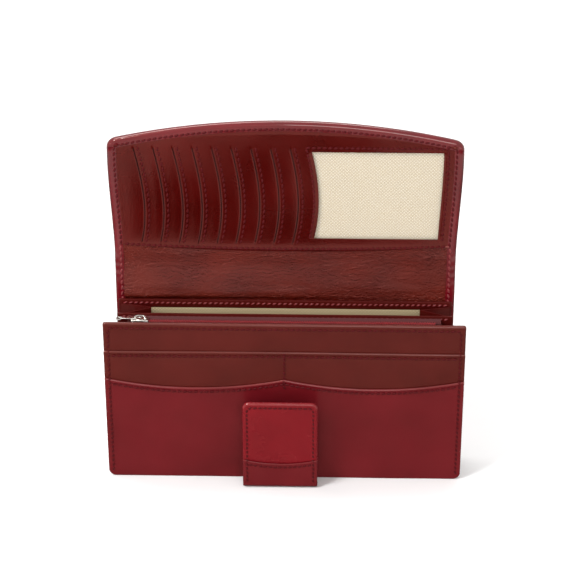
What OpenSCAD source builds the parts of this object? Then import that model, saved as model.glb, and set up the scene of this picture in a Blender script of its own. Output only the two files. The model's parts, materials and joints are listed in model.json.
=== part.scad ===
// Long wallet with a fold-over card flap, a zipped pocket and a snap tab.
// Frame: +X to the right, +Y to the back, +Z up. It stands open on its foot.

/* [Overall] */
// Width of the front leaf
leaf_w = 190; // [150:1:230]
// Height of the front leaf, along its own slope
leaf_h = 97; // [80:1:115]
// Width of the outer cover
cover_w = 184; // [144:1:224]
// Forward lean of the front leaf
leaf_lean = 2.5; // [2:0.5:5]
// Radius of the leaf's lower corners
leaf_corner = 4; // [2:0.5:8]

/* [Compartments] */
// Width of the zip gap behind the leaf, at its mouth
zip_gap = 7.2; // [6.5:0.1:10]
// Width of the banknote compartment
bill_gap = 11; // [6:0.5:16]
// Slack left in the flat pocket behind the rear wall
rear_slack = 0.5; // [0.3:0.1:2]
// How far the rear wall stands above the leaf
rear_rise = 2.2; // [0:0.1:4]
// Width of the middle and rear walls
wall_w = 176; // [140:1:216]
// Depth of the side gussets' inward fold
gusset_fold = 16; // [8:1:24]

/* [Leather and boards] */
// Thickness of the outer cover leather
cover_t = 1.2; // [0.8:0.1:1.6]
// Thickness of pocket and panel leather
panel_t = 0.8; // [0.5:0.1:1.2]
// Thickness of lining cloth
cloth_t = 0.5; // [0.3:0.1:0.8]
// Thickness of the stiffening boards
board_t = 0.9; // [0.5:0.1:1.5]

/* [Front pockets] */
// Height of the lower pocket at its ends
scallop_h = 63.5; // [40:0.5:66]
// Depth of each scallop's dip
scallop_dip = 6.5; // [2:0.5:8]
// Height of the middle pocket
middle_h = 81; // [68:0.5:90]

/* [Spine and flap] */
// Backward lean of the open spine
spine_lean = 2; // [0:1:10]
// Backward lean of the open flap
flap_lean = 3; // [3:1:15]
// Height of the flap at its middle
flap_h = 74; // [65:0.5:90]
// Rise of the flap's arched edge
flap_arch = 11; // [6:0.5:16]
// Width of the turned hem round the flap
hem_w = 5; // [4:0.5:7]
// Thickness of the flap at its rim
flap_t = 4.8; // [4.5:0.1:6]
// Radius of the flap's corners
flap_corner = 5; // [3:0.5:9]

/* [Card panel] */
// Number of card slots
slot_count = 9; // [9]
// Distance from one card slit to the next
slot_pitch = 10.1; // [8:0.1:10.6]
// Length of a card slit
slit_h = 54; // [44:1:56]
// Sideways bow of a card slit
slit_bow = 3.6; // [2:0.1:5]
// Width of the identity window
window_w = 67; // [50:1:70]
// Height of the identity window
window_h = 49; // [40:1:52]

/* [Tab] */
// Width of the closing tab
tab_w = 40; // [30:1:50]
// Height of the closing tab
tab_h = 55; // [44:1:60]
// Sideways place of the tab
tab_x = -2; // [-10:0.5:10]
// Thickness of the tab without its front pocket
tab_t = 2.6; // [2.4:0.1:3.4]
// Room between the leaf and the tab beyond the flap
tab_room = 2.6; // [2.5:0.1:4]
// Radius of the snap fastener
snap_r = 6; // [4:0.5:8]

/* [Zip] */
// Distance from tooth to tooth
tooth_pitch = 2.5; // [2:0.1:3]
// Length of the slider
slider_l = 9.5; // [7:0.5:12]
// Length of the pull
pull_l = 13; // [9:0.5:16]

/* [Hidden] */
$fn = 64;
eps = 0.01;
gap = 0.4;

base_t = 1.4;
leaf_foot_y = -9.7;
leaf_t = 3 * panel_t + board_t + cloth_t;
leaf_top_z = leaf_h * cos(leaf_lean);
leaf_top_y = leaf_foot_y - leaf_h * sin(leaf_lean);
leaf_back_y = leaf_foot_y + leaf_t / cos(leaf_lean);

wall_t = panel_t + cloth_t;
mid_y = leaf_top_y + leaf_t + zip_gap;
mid_top_z = leaf_top_z + 0.8;
rear_y = mid_y + wall_t + bill_gap;
rear_top_z = leaf_top_z + rear_rise;
fold_y = rear_y + wall_t + rear_slack;
fold_z = rear_top_z + 1;
wall_foot_z = base_t + gap;
cover_y = fold_y + cloth_t + board_t;
band_h = 4.6;

flap_clear = 1.2;
spine_l = fold_y - leaf_top_y + flap_clear;
spine_t = cloth_t + board_t + cover_t;
fold_room = 2;

panel_inset = 0.3;
panel_drop = 3.5;
slit_w = 0.8;
slit_x = 15 - cover_w / 2;
slit_z = 5;
slit_tilt = 1;
window_x = slit_x + 91.5;
window_z = 8.5;

tab_y = -(flap_t + tab_room);
roll_r = tab_t - 0.3;
roll_y = tab_y - 0.2;
roll_z = (roll_r + 0.15 - roll_y * sin(leaf_lean)) / cos(leaf_lean);
snap_z = tab_h - 11;
snap_flap_z = (fold_z / cos(leaf_lean)) - snap_z;
socket_t = 0.6;
stud_t = 0.6;

teeth_z = leaf_top_z - 3.3;
teeth_y = (leaf_top_y + leaf_t + mid_y) / 2;
teeth_half = 0.45;
teeth_reach = 0.8;
teeth_h = 1.5;
zip_half = wall_w / 2 - 5.5;
stop_l = 1.6;
plate_w = 4.4;
plate_t = 0.7;
slider_x = -(zip_half - stop_l - 0.4 - slider_l / 2);
bar_r = 0.6;
bar_z = teeth_z + teeth_h / 2 + 0.3 + plate_t + 1.3;
pull_w = 3.2;
pull_t = 0.9;
eye_w = 2;

SLOTS = [for (i = [1:slot_count]) str("slot_liner_", i)];

// Frames of the three leaning parts: x across, y to the back, z up the slope
module on_leaf() {
    translate([0, leaf_foot_y, 0])
        rotate([leaf_lean, 0, 0])
            children();
}

module on_spine() {
    translate([0, fold_y, fold_z])
        rotate([-spine_lean, 0, 0])
            children();
}

module on_flap() {
    on_spine()
        translate([0, 0, spine_l])
            rotate([spine_lean - flap_lean, 0, 0])
                children();
}

// An outline drawn in x and z, given its thickness from y0 to y0 + t
module sheet(y0, t) {
    translate([0, y0 + t, 0])
        rotate([90, 0, 0])
            linear_extrude(t)
                children();
}

// A plain rectangular sheet, centred across
module plate(w, y0, t, z0, z1) {
    translate([-w / 2, y0, z0])
        cube([w, t, z1 - z0]);
}

// A side profile in y and z, drawn out from x0 to x1
module profile(x0, x1) {
    translate([x0, 0, 0])
        rotate([90, 0, 90])
            linear_extrude(x1 - x0)
                children();
}

// A rectangle standing on z = 0 with rounded lower corners
module leaf_outline(h) {
    w = leaf_w / 2;
    r = leaf_corner;
    translate([-w, r])
        square([leaf_w, h - r]);
    translate([-w + r, 0])
        square([leaf_w - 2 * r, r + eps]);
    for (s = [-1, 1])
        translate([s * (w - r), r])
            circle(r);
}

// ---- cover, back and rear wall ----

module cover_base() {
    color("#7a1f22")
        translate([-cover_w / 2, leaf_back_y + 0.6, 0])
            cube([cover_w, cover_y + cover_t - leaf_back_y - 0.6, base_t]);
}

module cover_back() {
    color("#8a1d26")
        plate(cover_w, cover_y, cover_t, base_t, fold_z - fold_room);
}

module back_board() {
    color("#b9a98c")
        plate(cover_w - 2 * hem_w, cover_y - board_t, board_t, base_t, fold_z - fold_room);
}

module back_lining() {
    color("#7d3229")
        plate(cover_w - 2 * hem_w, fold_y, cloth_t, base_t, rear_top_z);
}

module rear_wall_panel() {
    color("#6e2a2a")
        plate(wall_w, rear_y + cloth_t, panel_t, base_t, rear_top_z);
}

module rear_wall_lining() {
    color("#e4d8bd")
        plate(wall_w, rear_y, cloth_t, base_t, rear_top_z - band_h);
}

module rear_wall_band() {
    color("#6e2a2a")
        plate(wall_w, rear_y, cloth_t, rear_top_z - band_h, rear_top_z);
}

// A leather fold between the middle and rear walls, its crease pointing inwards
module gusset(s) {
    wall_inset = 1;
    top_drop = 4;
    out_x = wall_w / 2 - wall_inset;
    in_x = out_x - gusset_fold;
    y0 = mid_y + wall_t;
    y1 = rear_y;
    crease_y = (y0 + y1) / 2;
    t = panel_t;
    color("#6a2020")
        translate([0, 0, base_t + gap])
            linear_extrude(leaf_top_z - top_drop - base_t)
                polygon([
                    [s * out_x, y1], [s * (in_x + t), crease_y + t / 2], [s * in_x, crease_y],
                    [s * (in_x + t), crease_y - t / 2], [s * out_x, y0], [s * out_x, y0 + t],
                    [s * (in_x + 2 * t), crease_y], [s * out_x, y1 - t]
                ]);
}

module gusset_left() {
    gusset(-1);
}

module gusset_right() {
    gusset(1);
}

// ---- front leaf ----

module pocket_scalloped() {
    half = leaf_w / 4;
    r = (half * half + scallop_dip * scallop_dip) / (2 * scallop_dip);
    color("#7d272c")
        on_leaf()
            sheet(0, panel_t)
                difference() {
                    leaf_outline(scallop_h);
                    for (s = [-1, 1])
                        translate([s * half, scallop_h - scallop_dip + r])
                            circle(r, $fn = 360);
                }
}

module pocket_middle() {
    color("#6b302c")
        on_leaf()
            sheet(panel_t, panel_t)
                leaf_outline(middle_h);
}

module leaf_top_band() {
    color("#6b302c")
        on_leaf()
            sheet(2 * panel_t, panel_t)
                leaf_outline(leaf_h);
}

module leaf_board() {
    color("#b9a98c")
        on_leaf()
            sheet(3 * panel_t, board_t)
                leaf_outline(leaf_h);
}

module leaf_lining() {
    color("#7d3229")
        on_leaf()
            sheet(3 * panel_t + board_t, cloth_t)
                leaf_outline(leaf_h);
}

module middle_wall_facing() {
    color("#5c1a1c")
        plate(wall_w, mid_y, panel_t, wall_foot_z, mid_top_z);
}

module middle_wall_lining() {
    color("#e4d8bd")
        plate(wall_w, mid_y + panel_t, cloth_t, wall_foot_z, mid_top_z);
}

// Back face of the leaf at height z
function leaf_back(z) = leaf_back_y - z * tan(leaf_lean);

// A cloth bag, open upwards, between the leaf and the middle wall
module zip_pocket_lining() {
    t = 0.4;
    side_inset = 1.2;
    teeth_room = 2.4;
    z0 = wall_foot_z;
    z1 = teeth_z - teeth_room;
    color("#e4d8bd")
        profile(-wall_w / 2 + side_inset, wall_w / 2 - side_inset)
            polygon([
                [leaf_back(z1) + 0.05, z1], [leaf_back(z0) + 0.05, z0], [mid_y, z0],
                [mid_y, z1], [mid_y - t, z1], [mid_y - t, z0 + 2 * t],
                [leaf_back(z0) + t + 0.1, z0 + 2 * t], [leaf_back(z1) + t, z1]
            ]);
}

module zip_gusset(s) {
    side_t = 0.8;
    z0 = wall_foot_z;
    z1 = teeth_z - 1;
    x0 = s * (wall_w / 2 - 0.6) - side_t / 2;
    color("#6a2020")
        profile(x0, x0 + side_t)
            polygon([
                [leaf_back(z0) + 0.05, z0], [mid_y, z0], [mid_y, z1],
                [leaf_back(z1) + 0.05, z1]
            ]);
}

module zip_gusset_left() {
    zip_gusset(-1);
}

module zip_gusset_right() {
    zip_gusset(1);
}

// ---- zip ----

// One row of teeth: a cord with square teeth on its inner edge
module teeth_row(s) {
    n = floor(2 * (zip_half - stop_l) / tooth_pitch);
    x0 = -n * tooth_pitch / 2;
    root = teeth_half + teeth_reach;
    translate([0, teeth_y, teeth_z - teeth_h / 2])
        linear_extrude(teeth_h)
            polygon(concat(
                [for (i = [0:n - 1], c = [0:3])
                    [x0 + tooth_pitch * (i + (c < 2 ? 0.1 : 0.6)),
                     s * (c == 1 || c == 2 ? teeth_half : root - 0.2)]],
                [[-x0, s * (root - 0.2)], [-x0, s * root], [x0, s * root],
                 [x0, s * (root - 0.2)]]));
}

// One side's woven tape, from the teeth to the wall that it is sewn to
module tape(y0, y1) {
    translate([-zip_half, y0, teeth_z - 0.3])
        cube([2 * zip_half, y1 - y0, 0.6]);
}

module zip_tape_front() {
    color("#6a0f14")
        tape(leaf_back(teeth_z) + 0.1, teeth_y - teeth_half - teeth_reach);
}

module zip_tape_rear() {
    color("#6a0f14")
        tape(teeth_y + teeth_half + teeth_reach, mid_y);
}

module zip_teeth_front() {
    color("#8f2a2c")
        teeth_row(-1);
}

module zip_teeth_rear() {
    color("#8f2a2c")
        teeth_row(1);
}

// A bridge over both rows of teeth, beyond their last tooth
module zip_stop(s) {
    w = 2 * (teeth_half + teeth_reach);
    x0 = s > 0 ? zip_half - stop_l + 0.1 : -zip_half;
    color("#c9c6c0")
        translate([x0, teeth_y - w / 2, teeth_z - teeth_h / 2])
            cube([stop_l - 0.1, w, teeth_h]);
}

module zip_stop_left() {
    zip_stop(-1);
}

module zip_stop_right() {
    zip_stop(1);
}

// Two plates joined by a thin post that runs between the rows of teeth
module zip_slider() {
    z_in = teeth_h / 2 + 0.3;
    post_w = 2 * teeth_half - 0.3;
    post_l = 2.4;
    ear_w = 0.6;
    color("#cfcdc8")
        translate([slider_x, teeth_y, teeth_z]) {
            for (s = [-1, 1])
                translate([-slider_l / 2, -plate_w / 2, s > 0 ? z_in : -z_in - plate_t])
                    cube([slider_l, plate_w, plate_t]);
            translate([slider_l / 2 - post_l, -post_w / 2, -z_in - eps])
                cube([post_l, post_w, 2 * z_in + 2 * eps]);
            for (s = [-1, 1])
                translate([-1, s * (plate_w / 2 - ear_w / 2) - ear_w / 2, z_in])
                    cube([2, ear_w, bar_z - teeth_z - z_in + bar_r]);
            translate([0, plate_w / 2, bar_z - teeth_z])
                rotate([90, 0, 0])
                    cylinder(r = bar_r, h = plate_w);
        }
}

// A flat tongue with an eye that turns on the slider's bar
module zip_pull() {
    eye_r = 1.25;
    color("#dcdad5")
        translate([slider_x, teeth_y, bar_z])
            difference() {
                union() {
                    translate([0, eye_w / 2, 0])
                        rotate([90, 0, 0])
                            cylinder(r = eye_r, h = eye_w);
                    translate([-3, -eye_w / 2, -pull_t / 2])
                        cube([3, eye_w, pull_t]);
                    translate([-pull_l + pull_w / 2, -pull_w / 2, -pull_t / 2])
                        cube([pull_l - pull_w / 2 - 2.6, pull_w, pull_t]);
                    translate([-pull_l + pull_w / 2, 0, -pull_t / 2])
                        cylinder(r = pull_w / 2, h = pull_t);
                }
                translate([0, eye_w, 0])
                    rotate([90, 0, 0])
                        cylinder(r = bar_r + 0.1, h = 2 * eye_w);
            }
}

// ---- closing tab ----

// The strap's sewn end on the foot of the leaf, and its short run to the roll
module tab_strap() {
    foot_h = 9;
    color("#8a2226")
        on_leaf()
            translate([tab_x, 0, 0]) {
                plate(tab_w - 4, -1, 1, 0.4, foot_h);
                plate(tab_w - 4, roll_y + roll_r + 0.3, -1 - roll_y - roll_r - 0.3 + eps, 0.4, 1.5);
            }
}

// Outer leather of the tab, with the round bend at its foot
module tab_head() {
    color("#8a2226")
        on_leaf()
            translate([tab_x, 0, 0]) {
                sheet(tab_y - tab_t, 1)
                    tab_outline(roll_z, tab_h);
                translate([-tab_w / 2, roll_y, roll_z])
                    rotate([0, 90, 0])
                        cylinder(r = roll_r, h = tab_w);
            }
}

// Tab shape between two heights, with rounded upper corners
module tab_outline(z0, z1, r = 3) {
    translate([-tab_w / 2, z0])
        square([tab_w, z1 - z0 - r]);
    translate([-tab_w / 2 + r, z0])
        square([tab_w - 2 * r, z1 - z0]);
    for (s = [-1, 1])
        translate([s * (tab_w / 2 - r), z1 - r])
            circle(r);
}

module tab_lining() {
    t = tab_t - 1 - board_t;
    color("#6e2a2a")
        on_leaf()
            translate([tab_x, 0, 0])
                sheet(tab_y - t, t)
                    tab_outline(roll_z + roll_r + 0.1, tab_h);
}

module tab_board() {
    color("#b9a98c")
        on_leaf()
            translate([tab_x, 0, 0])
                sheet(tab_y - tab_t + 1, board_t)
                    tab_outline(roll_z + roll_r + 0.1, tab_h);
}

// Overlay on the tab's face, with a dipped upper lip
module tab_pocket() {
    lip_z = 19;
    dip = 2.6;
    half = tab_w / 2;
    r = (half * half + dip * dip) / (2 * dip);
    color("#8a2226")
        on_leaf()
            translate([tab_x, 0, 0])
                sheet(tab_y - tab_t - panel_t, panel_t)
                    difference() {
                        translate([-half, roll_z])
                            square([tab_w, lip_z - roll_z]);
                        translate([0, lip_z - dip + r])
                            circle(r, $fn = 180);
                    }
}

module snap_socket() {
    color("#c9c6c0")
        on_leaf()
            translate([tab_x, tab_y + socket_t, snap_z])
                rotate([90, 0, 0])
                    cylinder(r = snap_r, h = socket_t);
}

// ---- spine ----

// The cover over the spine, turned in along both sides
module cover_spine() {
    z0 = gap;
    z1 = spine_l - fold_room;
    color("#8a1d26")
        on_spine() {
            plate(cover_w, spine_t - cover_t, cover_t, z0, z1);
            for (s = [-1, 1])
                translate([s * (cover_w - hem_w) / 2, 0, 0])
                    plate(hem_w, 0, spine_t - cover_t + eps, z0, z1);
        }
}

module spine_padding() {
    color("#b9a98c")
        on_spine()
            plate(cover_w - 2 * hem_w, cloth_t, board_t, gap, spine_l - fold_room);
}

module spine_lining() {
    color("#84362c")
        on_spine()
            plate(cover_w - 2 * hem_w, 0, cloth_t, gap, spine_l - fold_room);
}

// ---- flap ----

// The flap's outline moved in by d, from height z0 up
module flap_outline(d, z0) {
    half = cover_w / 2;
    r = (half * half + flap_arch * flap_arch) / (2 * flap_arch);
    intersection() {
        offset(r = flap_corner)
            offset(delta = -flap_corner)
                intersection() {
                    translate([-half + d, -flap_h / 2])
                        square([cover_w - 2 * d, 2 * flap_h]);
                    translate([0, flap_h - r])
                        circle(r - d, $fn = 480);
                }
        translate([-half, z0])
            square([cover_w, flap_h]);
    }
}

// The cover on the flap's back, rolled over the rim and hemmed on the front
module cover_flap() {
    color("#7a0f1c")
        on_flap()
            difference() {
                sheet(0, flap_t)
                    flap_outline(0, gap);
                sheet(-1, flap_t - cover_t + 1)
                    flap_outline(hem_w, gap + 0.6);
            }
}

// What fills the hem's inside, from y0 over thickness t
module flap_layer(y0, t) {
    sheet(y0, t)
        flap_outline(hem_w, gap + 0.6);
}

liner_y = panel_inset + panel_t;
backing_y = liner_y + 2 * cloth_t;
film_t = 0.3;
window_lap = 2;

module flap_board() {
    y0 = backing_y + cloth_t;
    color("#b9a98c")
        on_flap()
            flap_layer(y0, flap_t - cover_t - y0);
}

module flap_backing() {
    color("#e4d8bd")
        on_flap()
            flap_layer(backing_y, cloth_t);
}

// A thin curved slit: part of a ring whose middle lies to the left
module slit() {
    r = (slit_h * slit_h / 4 + slit_bow * slit_bow) / (2 * slit_bow);
    rotate(slit_tilt)
        translate([slit_bow - r, 0])
            intersection() {
                difference() {
                    circle(r + slit_w / 2, $fn = 180);
                    circle(r - slit_w / 2, $fn = 180);
                }
                translate([0, -slit_h / 2])
                    square([2 * r, slit_h]);
            }
}

module card_panel() {
    half = cover_w / 2 - hem_w;
    r = (half * half + panel_drop * panel_drop) / (2 * panel_drop);
    color("#6e3830")
        on_flap()
            sheet(panel_inset, panel_t)
                difference() {
                    intersection() {
                        flap_outline(hem_w, gap + 0.6);
                        translate([0, gap + 0.6 + r])
                            circle(r, $fn = 480);
                    }
                    for (i = [0:slot_count - 1])
                        translate([slit_x + i * slot_pitch, slit_z + slit_h / 2])
                            slit();
                    translate([window_x, window_z])
                        square([window_w, window_h]);
                }
}

// Cloth behind one slit, which the card slides against
module slot_liner(i) {
    color("#5e2420")
        on_flap()
            translate([slit_x + (i - 1) * slot_pitch - slot_pitch / 2, liner_y, slit_z - 1])
                cube([slot_pitch - 0.3, cloth_t, slit_h - 1]);
}

// A sheet glued behind the window, trimmed where it would meet the hem
module window_sheet(y0) {
    sheet(y0, film_t)
        intersection() {
            translate([window_x - window_lap, window_z - window_lap])
                square([window_w + 2 * window_lap, window_h + 2 * window_lap]);
            flap_outline(hem_w, gap + 0.6);
        }
}

module window_film() {
    color("#f4f4f2")
        on_flap()
            window_sheet(liner_y);
}

module window_lining() {
    color("#e4d8bd")
        on_flap()
            window_sheet(backing_y - film_t);
}

module snap_stud() {
    color("#c9c6c0")
        on_flap()
            translate([tab_x, flap_t + stud_t, snap_flap_z])
                rotate([90, 0, 0])
                    cylinder(r = snap_r, h = stud_t);
}

cover_base();
cover_back();
back_board();
back_lining();
rear_wall_panel();
rear_wall_lining();
rear_wall_band();
gusset_left();
gusset_right();
pocket_scalloped();
pocket_middle();
leaf_top_band();
leaf_board();
leaf_lining();
middle_wall_facing();
middle_wall_lining();
zip_pocket_lining();
zip_gusset_left();
zip_gusset_right();
zip_tape_front();
zip_tape_rear();
zip_teeth_front();
zip_teeth_rear();
zip_stop_left();
zip_stop_right();
zip_slider();
zip_pull();
tab_strap();
tab_head();
tab_lining();
tab_board();
tab_pocket();
snap_socket();
cover_spine();
spine_padding();
spine_lining();
cover_flap();
flap_board();
flap_backing();
card_panel();
window_film();
window_lining();
snap_stud();
for (i = [1:slot_count])
    slot_liner(i);
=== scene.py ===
# %% [markdown]
# # A long wallet in polished leather
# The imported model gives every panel's place, the folds and the moving parts. This file makes
# the looks: hemmed leather, stitches, cloth, a zip and the light. Sizes are in millimetres
# until a mesh is made, because leather work is measured in millimetres.

# %% Load the frame
import json
import math

import bpy
import bmesh
import numpy as np
from mathutils import Matrix, Vector, noise


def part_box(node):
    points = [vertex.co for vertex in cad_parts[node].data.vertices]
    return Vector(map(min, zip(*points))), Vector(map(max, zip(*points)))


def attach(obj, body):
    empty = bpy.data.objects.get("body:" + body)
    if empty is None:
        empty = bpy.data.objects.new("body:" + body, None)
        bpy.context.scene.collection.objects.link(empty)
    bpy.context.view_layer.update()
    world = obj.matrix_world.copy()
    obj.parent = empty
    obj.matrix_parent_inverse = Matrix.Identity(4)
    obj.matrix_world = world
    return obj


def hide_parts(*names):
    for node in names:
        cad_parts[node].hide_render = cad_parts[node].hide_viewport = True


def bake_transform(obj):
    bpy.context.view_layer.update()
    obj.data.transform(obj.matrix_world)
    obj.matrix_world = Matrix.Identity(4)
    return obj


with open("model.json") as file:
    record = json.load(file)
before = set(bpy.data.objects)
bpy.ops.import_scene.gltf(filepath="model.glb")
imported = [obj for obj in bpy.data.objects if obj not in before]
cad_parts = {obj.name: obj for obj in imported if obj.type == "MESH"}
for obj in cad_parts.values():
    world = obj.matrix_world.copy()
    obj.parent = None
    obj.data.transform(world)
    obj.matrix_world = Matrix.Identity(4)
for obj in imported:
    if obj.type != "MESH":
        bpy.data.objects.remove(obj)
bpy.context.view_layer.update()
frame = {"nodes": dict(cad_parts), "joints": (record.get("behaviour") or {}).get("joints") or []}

MM = 0.001
scene = bpy.context.scene
joints = {j["name"]: j for j in frame["joints"]}
print("pieces in the frame:", len(frame["nodes"]))


# %% Sizes read from the frame
def box_mm(node):
    low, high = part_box(node)
    return np.array(low) / MM, np.array(high) / MM


def span(node, axis):
    low, high = box_mm(node)
    return high[axis] - low[axis]


def hinge_mm(name):
    place = joints[name]["pos_m"]
    return place[1] / MM, place[2] / MM


FOLD_Y, FOLD_Z = hinge_mm("spine_fold")
TURN_Y, TURN_Z = hinge_mm("flap_fold")
SPINE_L = math.hypot(TURN_Y - FOLD_Y, TURN_Z - FOLD_Z)
SPINE_LEAN = math.radians(joints["spine_fold"]["range_deg"][1] - 90)
LEAF_LEAN = math.radians(2.5)
FLAP_LEAN = math.radians(joints["flap_fold"]["range_deg"][1] - 90) + SPINE_LEAN - LEAF_LEAN
LEAF_W = span("leaf_top_band", 0)
LEAF_H = box_mm("leaf_top_band")[1][2] / math.cos(LEAF_LEAN)
LEAF_T = 3.8
LEAF_FOOT_Y = hinge_mm("front_open")[0] - 0.2 - LEAF_T / math.cos(LEAF_LEAN)
COVER_W = span("cover_back", 0)
WALL_W = span("rear_wall_panel", 0)
FLAP_H = (box_mm("cover_flap")[1][2] - TURN_Z) / math.cos(FLAP_LEAN)
FLAP_T = 4.8
SPINE_T = 2.6
HEM_W = 5.0
print("spine", round(SPINE_L, 1), "flap height", round(FLAP_H, 1), "leaf height", round(LEAF_H, 1))

# %% [markdown]
# ## Colour and nodes
# Leather colours are read as sRGB hex values, as a dye chart gives them, and turned to linear
# once. One small function adds any shader node, so each material reads as a short recipe.


# %% Helpers for materials
def dye(code):
    parts = [int(code[i:i + 2], 16) / 255 for i in (1, 3, 5)]
    return tuple(c / 12.92 if c <= 0.04045 else ((c + 0.055) / 1.055) ** 2.4 for c in parts) + (1,)


def add(tree, kind, links=None, **settings):
    node = tree.nodes.new("ShaderNode" + kind)
    for name, value in settings.items():
        key = name.replace("_", " ")
        if key in node.inputs:
            node.inputs[key].default_value = value
        else:
            setattr(node, name, value)
    for name, source in (links or {}).items():
        tree.links.new(source, node.inputs[name])
    return node


def new_material(name):
    material = bpy.data.materials.new(name)
    material.use_nodes = True
    tree = material.node_tree
    return material, tree, tree.nodes["Principled BSDF"]


def settle(shader, **settings):
    """Set the shader's own sockets; an underscore stands for a space."""
    for name, value in settings.items():
        shader.inputs[name.replace("_", " ")].default_value = value


def ramp(tree, source, low, high, colour_low, colour_high):
    node = add(tree, "ValToRGB", {"Fac": source})
    node.color_ramp.elements[0].position = low
    node.color_ramp.elements[1].position = high
    node.color_ramp.elements[0].color = colour_low
    node.color_ramp.elements[1].color = colour_high
    return node


# %% [markdown]
# ## Polished calf leather
# The hide is dyed deep red, then glazed under a coat of clear finish. The eye reads a fine
# pebble under the gloss, a slow drift between two tones and a soft broad reflection. A flat
# colour with a shine would look like plastic, so the hide gets its grain from two fine bumps,
# and the clear coat has a smoother bump of its own. A sheep lining adds creases, stretched
# along the fold.


# %% Leather material
PORE_MM = 0.35
DRIFT_MM = 28
PATCH_MM = 12
HILL_MM = 16


def leather(name, tone_a, tone_b, rough, coat, grain_mm, grain, crease=0.0, crease_mm=9,
            coat_rough=0.08, wave=0.12, shine=0.45, tint="#ffb09a"):
    material, tree, shader = new_material(name)
    place = add(tree, "TexCoord").outputs["Object"]
    drift = add(tree, "TexNoise", {"Vector": place}, Scale=1 / (DRIFT_MM * MM), Detail=3.0)
    tone = ramp(tree, drift.outputs["Fac"], 0.32, 0.68, dye(tone_a), dye(tone_b))
    tree.links.new(tone.outputs["Color"], shader.inputs["Base Color"])
    pebble = add(tree, "TexVoronoi", {"Vector": place}, Scale=1 / (grain_mm * MM))
    pore = add(tree, "TexNoise", {"Vector": place}, Scale=1 / (PORE_MM * MM), Detail=4.0)
    fine = add(tree, "Bump", {"Height": pebble.outputs["Distance"]}, Strength=grain,
               Distance=0.12 * MM)
    last = add(tree, "Bump", {"Height": pore.outputs["Fac"], "Normal": fine.outputs["Normal"]},
               Strength=grain * 0.5, Distance=0.06 * MM)
    if crease:
        stretch = add(tree, "Mapping", {"Vector": place}, Rotation=(0, 0.35, 0),
                      Scale=(1.0, 1.0, 1.9))
        furrow = add(tree, "TexNoise", {"Vector": stretch.outputs["Vector"]},
                     Scale=1 / (crease_mm * MM), Detail=6.0, Roughness=0.62, Distortion=0.8)
        last = add(tree, "Bump", {"Height": furrow.outputs["Fac"],
                                  "Normal": last.outputs["Normal"]},
                   Strength=crease, Distance=1.1 * MM)
    tree.links.new(last.outputs["Normal"], shader.inputs["Normal"])
    patch = add(tree, "TexNoise", {"Vector": place}, Scale=1 / (PATCH_MM * MM), Detail=4.0)
    spread = add(tree, "MapRange", {"Value": patch.outputs["Fac"]}, To_Min=rough * 0.8,
                 To_Max=rough * 1.25)
    tree.links.new(spread.outputs["Result"], shader.inputs["Roughness"])
    settle(shader, IOR=1.48, Coat_Weight=coat, Specular_IOR_Level=shine,
           Specular_Tint=dye(tint), Coat_Roughness=coat_rough, Coat_IOR=1.5)
    # the glaze is smoother than the hide, and only follows its slow hills
    hill = add(tree, "TexNoise", {"Vector": place}, Scale=1 / (HILL_MM * MM), Detail=3.0)
    glaze = add(tree, "Bump", {"Height": hill.outputs["Fac"]}, Strength=wave, Distance=1.0 * MM)
    skin = add(tree, "Bump", {"Height": pebble.outputs["Distance"],
                              "Normal": glaze.outputs["Normal"]}, Strength=grain * 0.25,
               Distance=0.05 * MM)
    tree.links.new(skin.outputs["Normal"], shader.inputs["Coat Normal"])
    return material


# %% Seven leathers
# the last numbers are roughness, weight of the clear coat, grain in mm and its depth
glazed_cover = leather("glazed_calf_cover", "#52010d", "#640614", 0.2, 1.0, 0.9, 0.2,
                       coat_rough=0.05)
glazed_tab = leather("glazed_calf_tab", "#700e18", "#7c121c", 0.26, 0.8, 0.9, 0.25)
glazed_pocket = leather("glazed_calf_pocket", "#5e0f16", "#69131b", 0.3, 0.7, 0.9, 0.25,
                        coat_rough=0.12)
glazed_band = leather("glazed_calf_band", "#4c1410", "#561814", 0.32, 0.7, 0.9, 0.25,
                      coat_rough=0.14)
glazed_panel = leather("glazed_calf_card_panel", "#3a0302", "#450504", 0.06, 0.1, 0.8, 0.1,
                       coat_rough=0.04, wave=0.1, shine=1.0, tint="#ff9b8e")
soft_spine = leather("creased_sheep_lining", "#420804", "#591307", 0.2, 0.3, 0.9, 0.5, 1.0, 2.6,
                     coat_rough=0.2, wave=0.35, shine=1.0, tint="#ff9b8e")
inner_leather = leather("satin_calf_inside", "#420707", "#4c0c0b", 0.36, 0.25, 0.9, 0.3)
print("leathers:", sum("calf" in m.name or "sheep" in m.name for m in bpy.data.materials))


# %% [markdown]
# ## Twill, tape, film, thread and nickel
# Twill shows slanted ribs, so two sets of waves cross at the rib spacing, drawn coarser than
# life so that they show. Modelled threads would need far too many faces. Film is a thin clear
# vinyl that is mostly see-through. The thread is waxed, dyed to match, and has no pattern
# beyond fine specks, because one stitch is smaller than any pattern on it.


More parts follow.
